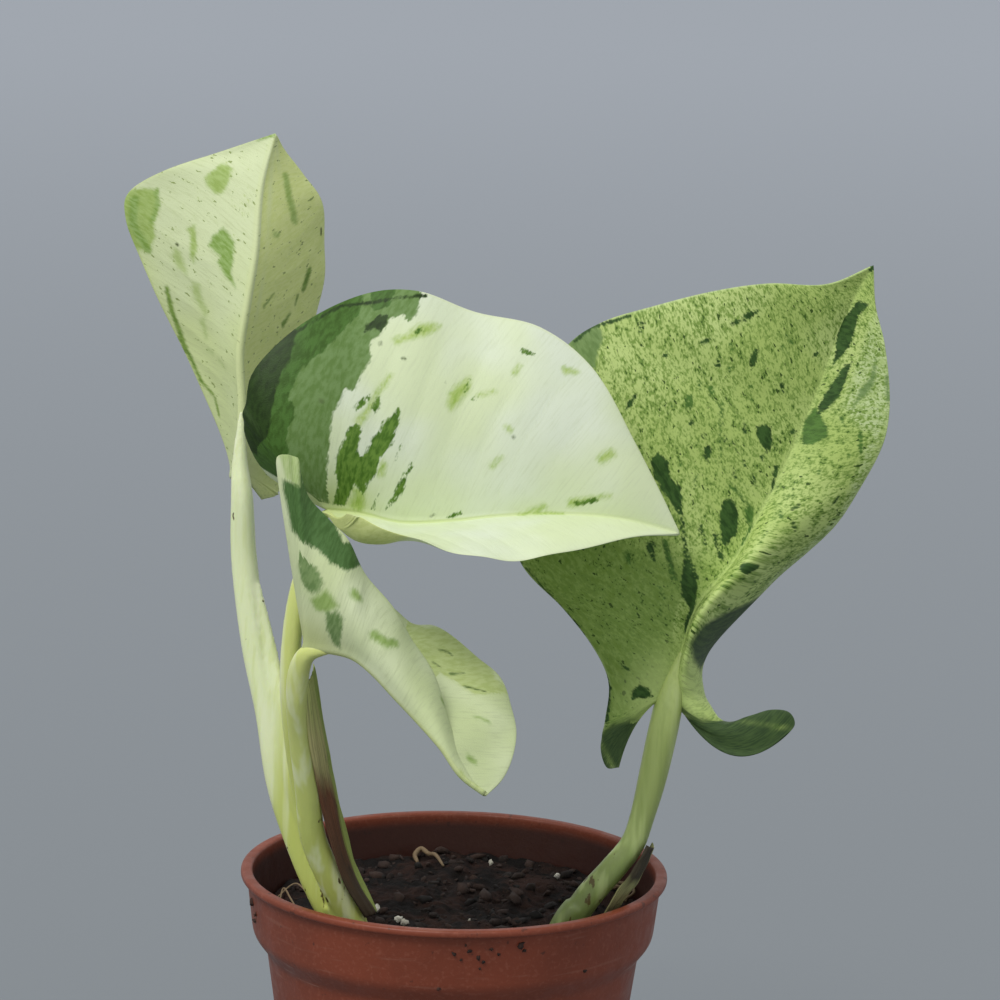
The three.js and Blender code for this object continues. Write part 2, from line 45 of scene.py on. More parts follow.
# The camera's place in millimetres and its turn in degrees, looking along +Y and a little down
CAMERA_PLACE = (6.1, -633.0, 251.35)
CAMERA_DIP = 11.22
CAMERA_ROLL = 1.34
CAMERA_LENS = 144.0
SENSOR_WIDTH = 36.0

# The pot, as in the part's source
RIM_RADIUS = 35.0
POT_HEIGHT = 64.0
BASE_RADIUS = 23.5
WALL = 1.2
LIP_WIDTH = 1.9
LIP_HEIGHT = 1.3
LIP_OVERHANG = 1.0
COLLAR_HEIGHT = 10.5
COLLAR_TAPER = 1.1
SHOULDER_DROP = 3.0
SHOULDER_STEP = 2.3
FLOOR = 1.6
DRAIN_RADIUS = 2.5
DRAIN_CIRCLE = 13.0
DRAIN_COUNT = 5
SOIL_TOP = 57.0
SOIL_CLEARANCE = 0.5

collar_top = RIM_RADIUS - LIP_OVERHANG
collar_foot = collar_top - COLLAR_TAPER
body_top = collar_foot - SHOULDER_STEP
collar_bottom = POT_HEIGHT - COLLAR_HEIGHT
shoulder = collar_bottom - SHOULDER_DROP
lip_foot = POT_HEIGHT - LIP_HEIGHT

# Places closer than this are one point, and what is farther than this is nowhere near a mark. Marks may
# reach this far over the midrib, as a share of the half blade.
SAME_PLACE = 1e-4
FAR = 30.0
OVER_MIDRIB = 0.02

# Thickness of the blades, the dried leaf bases and the wing, and how ragged and crumpled the bases are
BLADE_THICKNESS = 0.45
SHEATH_THICKNESS = 0.4
SHEATH_RAGGED = 0.05
SHEATH_CURL = 0.12
WING_THICKNESS = 1.0

# Fineness of the surfaces. A blade has rows round its lobes and rows along its midrib, and columns from the
# midrib to each margin.
FAN_ROWS = 44
RIB_ROWS = 150
HALF_COLUMNS = 96
SHEATH_ROWS = 140
SHEATH_COLUMNS = 24
WING_ROWS = 80
WING_COLUMNS = 9
STALK_SIDES = 28
STEM_STEPS = 60
PETIOLE_STEPS = 130
ROOT_SIDES = 10
ROOT_STEPS = 30
STALK_VOXEL = 0.35
POT_SIDES = 192
DRAIN_SIDES = 40
SOIL_SIDES = 240
SOIL_RINGS = 110

# A blade's relief: the side veins on a half, how far they sweep to the tip, the share of them in a lobe, the
# radius of the fold, the bulges between the veins, the waves of the margin, and the midrib's groove and ridge
VEINS_A_HALF = 11
VEIN_SWEEP = 0.16
FAN_SHARE = 0.35
FOLD_RADIUS = 2.2
QUILT_HEIGHT = 0.22
EDGE_WAVE = 0.3
WAVES = 4.3
GROOVE_WIDTH = 0.45
GROOVE_DEPTH = 0.15
RIDGE_WIDTH = 1.15
RIDGE_HEIGHT = 0.8

# The flow map of a blade, whose lines run with the side veins: their slope and the length of a lobe
VEIN_SLOPE = 0.45
FAN_LENGTH = 22.0

# The groove along a petiole: its depth as a share of the radius, and its turn round the petiole in radians
PETIOLE_GROOVE = 0.16
PETIOLE_GROOVE_TURN = 1.2

# The light and the floor
SKY_TONE = (0.96, 0.98, 1.0, 1)
SKY_STRENGTH = 0.62
SUN_TONE = (1, 0.985, 0.95)
SUN_STRENGTH = 2.0
SUN_SPREAD = 24.0
SUN_FROM = (-0.45, -0.5, 0.95)
FLOOR_REACH = 6000.0
# The floor's tone near and far: paler far off, which is painted light
FLOOR_NEAR = (121, 127, 132)
FLOOR_FAR = (147, 153, 162)

# Tones as seen on a screen, 0 to 255. The pot's plastic, its pale specks, scuffs and dust, and the painted
# shade on its inner wall.
POT_TONE = (128, 62, 41)
POT_SPECK_TONE = (160, 100, 80)
SCUFF_TONE = (186, 150, 132)
DUST_TONE = (62, 38, 30)
INNER_WALL_SHADE_TONE = (44, 24, 20)

# The soil's two grounds, its lighter crumbs and the painted shade of its pits
SOIL_TONES = ((22, 19, 18), (54, 36, 30), (78, 58, 46), (12, 11, 11))

# What lies on the soil and sticks to the pot: the look's name, its darkest and lightest tone and roughness
GRAIN_LOOKS = {
    "crumbs": ("soil crumbs", (14, 12, 11), (54, 37, 30), 0.9),
    "perlite": ("perlite", (176, 170, 156), (226, 222, 210), 0.8),
    "fibres": ("root fibres", (120, 100, 74), (176, 158, 122), 0.7),
    "dirt": ("dirt on the pot", (30, 20, 16), (70, 44, 34), 0.9),
}

# The dried leaf bases: the place from the top and the tone of each band, and the tone of the far edge. The
# tones of the fibres and of the dark spots are the same for both.
SHEATH_TONES = {
    "dry_sheath_left": (
        ((0, (196, 204, 124)), (0.25, (190, 184, 124)), (0.45, (112, 72, 46)), (0.85, (66, 52, 32))),
        (152, 168, 82)),
    "dry_sheath_right": (
        ((0, (52, 46, 28)), (0.3, (58, 52, 32)), (0.45, (140, 142, 92)), (0.85, (122, 112, 74))),
        (150, 152, 96)),
}
FIBRE_TONE = (58, 42, 26)
SPOT_TONE = (44, 36, 22)

# Stalk colours: above, towards the soil, on the inner stalks, the darker streaks, and the lighter streaks
# that are painted highlights. All stalks share the flecks and the tones just above the soil and below it.
STALK_TONES = {
    "left_shoot": ((224, 234, 188), (188, 198, 104), (204, 213, 128), (196, 208, 116), (232, 238, 206)),
    "right_shoot": ((184, 202, 120), (118, 134, 74), (184, 202, 120), (128, 150, 70), (190, 206, 138)),
}
FLECK_TONE = (84, 74, 34)
STALK_FOOT_TONE = (128, 132, 52)
ROOT_TONE = (96, 74, 46)
VEIN_TONE = (205, 220, 150)

# Specks of soil stuck to the pot's collar: angle round the pot from the front, height and size
DIRT = [
    (1, 60, 0.7), (3, 59, 0.5), (5, 60.5, 0.9), (7.5, 59.4, 0.6), (9, 58.6, 0.5), (11, 60.8, 0.8),
    (13, 59.8, 0.5), (19, 61, 1.1), (20, 60.2, 0.6), (-75, 60, 1.3), (-74, 57, 1), (-72, 58.5, 0.7),
    (40, 55, 0.5), (-3, 54, 0.5), (8, 57.5, 0.4), (4, 61.5, 0.5),
]

# Crumbs strewn on the soil, the least size of one and how much larger the largest are
CRUMBS = 420
CRUMB_SIZE = 0.5
CRUMB_SPREAD = 2.2

# Places on the soil, in millimetres: white perlite grains with their size, a curl of root, fine roots, and
# a clump of fibres
PERLITE = [
    (-12.5, -1.6, 1.5), (-14.2, -0.8, 1.1), (-8.9, -6.8, 1.8), (-7.9, -8.6, 1.2), (-5.6, -11.5, 0.8),
    (2.7, -9.7, 0.6), (17.2, 16.8, 1.1), (20.7, -8.8, 0.9), (28.5, 1.7, 1.2), (24.2, -20.1, 1),
    (-20, 18, 0.9), (6, 24, 1),
]
FIBRES = [
    [(-6.5, 23, 0.28), (-7, 26, 0.45), (-6, 28, 0.45), (-4.6, 26, 0.4), (-3.4, 22, 0.35), (-2, 19, 0.2)],
    [(-28.8, 1.6, 0.14), (-28.4, 7.3, 0.16), (-27, 2.8, 0.16), (-25.5, -2.7, 0.12)],
    [(-29.5, 4, 0.12), (-26.5, 8, 0.14), (-24, 5, 0.12)],
    [(25.2, 15, 0.25), (26.9, 11.8, 0.3), (28.9, 11.6, 0.3), (28.6, 7.9, 0.2)],
    [(24, 12, 0.2), (28, 14, 0.3), (30, 9, 0.25), (27, 6, 0.15)],
    [(23, 8, 0.15), (26, 9, 0.25), (27.4, 13.8, 0.2)],
]

# Clods of the soil: x, y, width and height, and its fine waves: how close and how high
CLODS = [
    (4, -11, 5, 1.6), (-6, 6, 7, 1.4), (14, 10, 6, 1.4), (-19, 8, 5, 1.2), (16, -6, 4, 1.2),
    (-2, 21, 6, 1.2),
]
SOIL_WAVES = ((0.9, 0.22), (1.7, 0.16), (3.1, 0.1))

# A leaf's midrib runs from the petiole to the tip. A half is a list of stations round its edge, each
# (foot, margin, push): where its row starts on the midrib, where it ends, and how far its middle bulges.
# upper is the side that the upper face is on. The ground is a mix of pale and deep, with the tones of the
# rib and the margin, the share of streaks, and the specks' two tones and how sparse they are. Each layer
# of marks has a light and a dark tone, how ragged its edge is, and how soft. Some layers are painted light
# and shade: sunny on the upper left leaf, olive on the centre leaf, and low and shade on the right leaf.
LEAVES = {
    "leaf_upper_left": {
        "midrib": [(-35.5, -7, 131), (-35.5, -4, 141), (-36, -2, 149), (-35, 0, 157), (-34, 2.5, 164.5),
            (-33.5, 7, 174.5), (-31.5, 11, 183)],
        "left": [
            (0, (-36, 0, 126.5), (0, 0, 0)), (0, (-37.5, 2, 128), (0, 0.5, 0)),
            (0.06, (-38, 3, 131), (0, 1, 0)), (0.22, (-42.5, 6, 141.5), (0, 1.5, 0)),
            (0.4, (-48, 8, 152), (0, 1.5, 0)), (0.58, (-53.5, 9, 163.5), (0, 1.5, 0)),
            (0.68, (-55.5, 10, 169), (0, 1.5, 0)), (0.77, (-55, 10.5, 173), (0, 1.5, 0.5)),
            (0.85, (-49.5, 11, 176.5), (0, 1, 0.5)), (0.93, (-41, 12, 179.5), (0, 0.5, 0)),
            (1, (-31.5, 11, 183), (0, 0, 0)),
        ],
        "right": [
            (0, (-32.5, 2, 124.5), (0, 0, 0)), (0, (-30, 8, 124.5), (0, 1, 0)),
            (0.05, (-29, 11, 128), (1, 1, 0)), (0.14, (-28.5, 13.5, 133.5), (1, 1.5, 0)),
            (0.28, (-27, 15, 142), (1, 1.5, 0)), (0.48, (-24.5, 17, 153), (1, 1, 0)),
            (0.64, (-23.5, 17, 162.5), (1, 1, 0)), (0.8, (-24, 16, 171), (1, 0.5, 0)),
            (0.9, (-27, 14.5, 176), (0.5, 0.5, 0)), (0.96, (-30, 13, 180), (0, 0, 0)),
            (1, (-31.5, 11, 183), (0, 0, 0)),
        ],
        "upper": -1, "pale": (222, 233, 188), "deep": (214, 227, 166),
        "rib": (220, 230, 172), "margin": (190, 206, 130), "streak": 0.5,
        "specks": ((196, 212, 144), (176, 196, 120), 1.42),
        "layers": {
            # sunny is painted light: it lightens and yellows the right half as if light shone through it
            "sunny": ((228, 238, 164), (220, 232, 150), 0.1, 1),
            "wash": ((190, 208, 142), (180, 200, 130), 0.4, 0.6),
            "green": ((178, 202, 122), (160, 186, 98), 0.4, 0.5),
            "mid": ((160, 190, 112), (134, 166, 78), 0.4, 0.45),
            "dark": ((140, 168, 84), (116, 146, 66), 0.3, 0.35),
            "fleck": ((90, 105, 55), (60, 75, 40), 0.1, 0.2),
        },
    },
    "leaf_centre": {
        "midrib": [(-21, -19, 127.5), (-16, -19.5, 127), (-9.5, -20, 125.5), (-1.5, -20.5, 126),
            (6, -20.5, 127), (15, -20, 127.5), (25, -19.5, 127), (34.5, -18, 124.5)],
        "left": [
            (0, (-30.5, -18, 132.5), (0, 0, -0.5)), (0, (-32.5, -18.5, 135.5), (0, -1, 0)),
            (0, (-34, -19, 139.5), (0, -2, 0)), (0, (-34, -19.5, 144), (0, -3, 0)),
            (0.04, (-32.5, -19, 149.5), (0, -3.5, 0)), (0.12, (-25.5, -16, 156), (0, -4, 0)),
            (0.24, (-16.5, -12, 160.5), (0, -4.5, 0)), (0.34, (-8, -11, 161), (0, -4.5, 0)),
            (0.46, (1.5, -10, 158), (0, -4, 0)), (0.6, (12, -10.5, 155.5), (0, -3.5, 0)),
            (0.72, (20, -12, 150), (0, -2.5, 0)), (0.85, (26.5, -15, 139.5), (0, -1.5, 0)),
            (0.94, (31, -17, 131.5), (0, -0.5, 0)), (1, (34.5, -18, 124.5), (0, 0, 0)),
        ],
        "right": [
            (0, (-17.5, -27, 128.5), (0, 0, -1)), (0, (-15.5, -30, 128.5), (0, 0, -2.5)),
            (0.06, (-13, -33, 128), (0, 0, -3.5)), (0.14, (-9.5, -36, 127.5), (0, 0, -3)),
            (0.22, (-6.5, -39, 127), (0, 0, -1)), (0.34, (-1.5, -43, 126.5), (0, 0, 0)),
            (0.46, (3.5, -44, 125.5), (0, 0, 0.5)), (0.58, (9, -42, 125), (0, 0, 0.5)),
            (0.72, (16, -36.5, 125), (0, 0, 0.5)), (0.88, (26.5, -26, 125.5), (0, 0, 0)),
            (1, (34.5, -18, 124.5), (0, 0, 0)),
        ],
        "upper": 1, "pale": (232, 241, 220), "deep": (226, 238, 196),
        "rib": (206, 222, 146), "margin": (222, 232, 190), "streak": 0.3,
        "specks": None,
        "layers": {
            "wash": ((188, 210, 125), (165, 195, 95), 0.5, 0.7),
            "green": ((122, 152, 92), (104, 136, 70), 0.5, 0.25),
            "mid": ((82, 120, 52), (66, 98, 36), 0.45, 0.2),
            "dark": ((52, 76, 32), (40, 60, 24), 0.4, 0.2),
            "splash": ((112, 148, 62), (78, 116, 38), 0.5, 0.2),
            # olive is painted shade where the near half folds steeply down beside the petiole
            "olive": ((222, 232, 158), (210, 222, 142), 0.2, 0.8),
            "fleck": ((100, 120, 70), (70, 85, 50), 0.15, 0.3),
        },
    },
    "leaf_lower_front": {
        "midrib": [(-23, -36, 108.5), (-19, -38, 109), (-15.5, -39.5, 108.5), (-12.5, -41, 106.5),
            (-9, -42, 103), (-6, -43, 100), (-2, -45, 96), (1, -46, 92), (5, -46, 89)],
        "left": [
            (0, (-28, -35, 137), (0, -1, 0)), (0, (-28, -35, 138.5), (0, -1.5, 0)),
            (0, (-27, -35, 139), (0, -2, 0)), (0, (-25, -35, 138.5), (0, -2.5, 0)),
            (0.02, (-24.5, -35, 136), (0, -3, 0)), (0.06, (-23, -35, 132.5), (0, -3, 0)),
            (0.12, (-20, -35, 129.5), (0, -3.5, 0)), (0.2, (-17.5, -35, 126.5), (0, -3.5, 0)),
            (0.28, (-15.5, -35, 123), (0, -3.5, 0)), (0.36, (-13.5, -35, 120), (0, -3, 0)),
            (0.46, (-10, -35, 115.5), (0, -3, 0)), (0.56, (-7, -35, 111), (0, -3, 0)),
            (0.68, (-3.5, -36, 105.5), (0, -2.5, 0)), (0.8, (-0.5, -40, 98), (0, -1.5, 0)),
            (0.92, (2, -44, 92.5), (0, -0.5, 0)), (1, (5, -46, 89), (0, 0, 0)),
        ],
        "right": [
            (0, (-23.5, -27, 114.5), (0, 0.5, 0)), (0, (-24, -26, 119), (0, 0.5, 0)),
            (0, (-22, -25, 121), (0, 0.5, 0)), (0, (-19, -23, 120), (0, 0.5, 0)),
            (0.08, (-16, -21, 116.5), (0, 1, -0.5)), (0.2, (-11.5, -19, 112.5), (0, 1.5, -1)),
            (0.32, (-7.5, -18, 109.5), (0, 1.5, -1)), (0.4, (-4, -18, 109), (0, 1.5, -1)),
            (0.48, (-0.5, -19, 107), (0, 1.5, -1)), (0.57, (3, -21, 105), (0.5, 1.5, -1)),
            (0.66, (6.5, -24, 102.5), (0.5, 1.5, -0.5)), (0.76, (8.5, -28, 99), (1, 1, 0)),
            (0.84, (9.5, -32, 96), (1, 1, 0)), (0.9, (9, -37, 93), (0.5, 0.5, 0)),
            (0.96, (7.5, -41.5, 90.5), (0, 0, 0)), (1, (5, -46, 89), (0, 0, 0)),
        ],
        "upper": -1, "pale": (226, 236, 196), "deep": (212, 225, 172),
        "rib": (204, 214, 140), "margin": (204, 218, 156), "streak": 0.5,
        "specks": None,
        "layers": {
            "wash": ((160, 188, 110), (146, 174, 96), 0.4, 0.6),
            "olive": ((204, 218, 152), (190, 206, 132), 0.4, 0.5),
            "green": ((136, 162, 104), (112, 142, 84), 0.5, 0.5),
            "dark": ((88, 124, 68), (74, 108, 54), 0.5, 0.4),
            "fleck": ((120, 144, 82), (92, 118, 60), 0.3, 0.25),
            "pale": ((188, 206, 146), (170, 194, 124), 0.2, 0.4),
        },
    },
    "leaf_right": {
        "midrib": [(34, -14, 98), (36, -13, 104.5), (38.5, -11, 111.5), (44, -7.5, 118),
            (48.5, -4.5, 126.5), (52.5, -2, 135), (56, 0, 143.5), (59.5, 2, 153), (62.5, 2.5, 160.5),
            (65, 2.5, 165)],
        "left": [
            (0, (26, -18, 86.5), (-1, 0, 1.5)), (0, (24, -18, 86.5), (-1, -0.5, 1.5)),
            (0, (23, -17.5, 89.5), (-0.5, -1, 1)), (0, (23.5, -16.5, 93.5), (0, -1, 0.5)),
            (0.03, (24, -15, 99.5), (0, -1.5, 0)), (0.07, (21.5, -14, 105), (0, -2, 0)),
            (0.12, (16.5, -11.5, 111), (0, -2.5, 0)), (0.2, (9.5, -9, 117.5), (0, -2.5, 0)),
            (0.3, (6.5, -6, 128), (0, -2.5, 0)), (0.42, (9, -3, 140.5), (0, -2.5, 0)),
            (0.54, (15.5, -1, 150.5), (0, -2.5, 0)), (0.61, (21.5, 0, 155), (0, -2, 0)),
            (0.67, (30, 0, 158), (0, -2, 0)), (0.74, (39, 0, 160.5), (0, -1.5, 0)),
            (0.81, (48, 0, 162), (0, -1, 0)), (0.89, (57.5, 1, 162), (0, 0, 0)),
            (1, (65, 2.5, 165), (0, 0, 0)),
        ],
        "right": [
            (0, (51.5, -20, 92.5), (0, -1, -6)), (0, (53.5, -19.5, 94.5), (0, -1, -6.5)),
            (0, (52.5, -19, 96.5), (0, -1, -6)), (0, (49.5, -18, 96.5), (-0.5, -1, -5)),
            (0, (46, -17, 95), (-0.5, -1, -3.5)), (0, (42.5, -14.5, 93.5), (0, -2, -1)),
            (0.02, (40.5, -12.5, 95.5), (-0.5, -2.5, 0)), (0.06, (39.5, -10.5, 97.5), (-1, -4, 0)),
            (0.12, (39.5, -8.5, 101.5), (-1.5, -5.5, 0.5)), (0.2, (42.5, -6, 106), (-2, -6.5, 1.5)),
            (0.3, (50, -3.5, 113.5), (-2, -7, 2)), (0.4, (56, -2.5, 119), (-1.5, -5, 1)),
            (0.5, (61.5, -2.5, 125.5), (0, -3, 0)), (0.62, (66.5, -3, 135), (0, -1, 0)),
            (0.74, (68, -3, 142.5), (0, 0, 0)), (0.86, (67, -1.5, 152.5), (0, 0, 0)),
            (0.95, (65.5, 1, 158.5), (0, 0, 0)), (1, (65, 2.5, 165), (0, 0, 0)),
        ],
        "upper": 1, "pale": (204, 224, 142), "deep": (184, 208, 116),
        "rib": (198, 219, 136), "margin": (200, 220, 158), "streak": 0.35,
        "specks": ((134, 164, 78), (78, 110, 42), 1.17),
        "layers": {
            # low is painted shade: a broad darkening of the lower left of the blade, beside the centre leaf
            "low": ((156, 184, 96), (130, 160, 70), 0.6, 5),
            # wash holds cream patches, and along the right margin a painted highlight
            "wash": ((204, 222, 164), (186, 208, 136), 0.6, 1),
            "green": ((132, 160, 98), (112, 142, 80), 0.5, 0.4),
            "mid": ((92, 132, 56), (74, 110, 44), 0.5, 0.25),
            "dark": ((66, 100, 44), (44, 74, 28), 0.45, 0.2),
            # shade is painted shade: the strip past the right margin near the base and both lobes are
            # darkened
            "shade": ((74, 98, 54), (54, 76, 44), 0.3, 0.9),
        },
    },
}

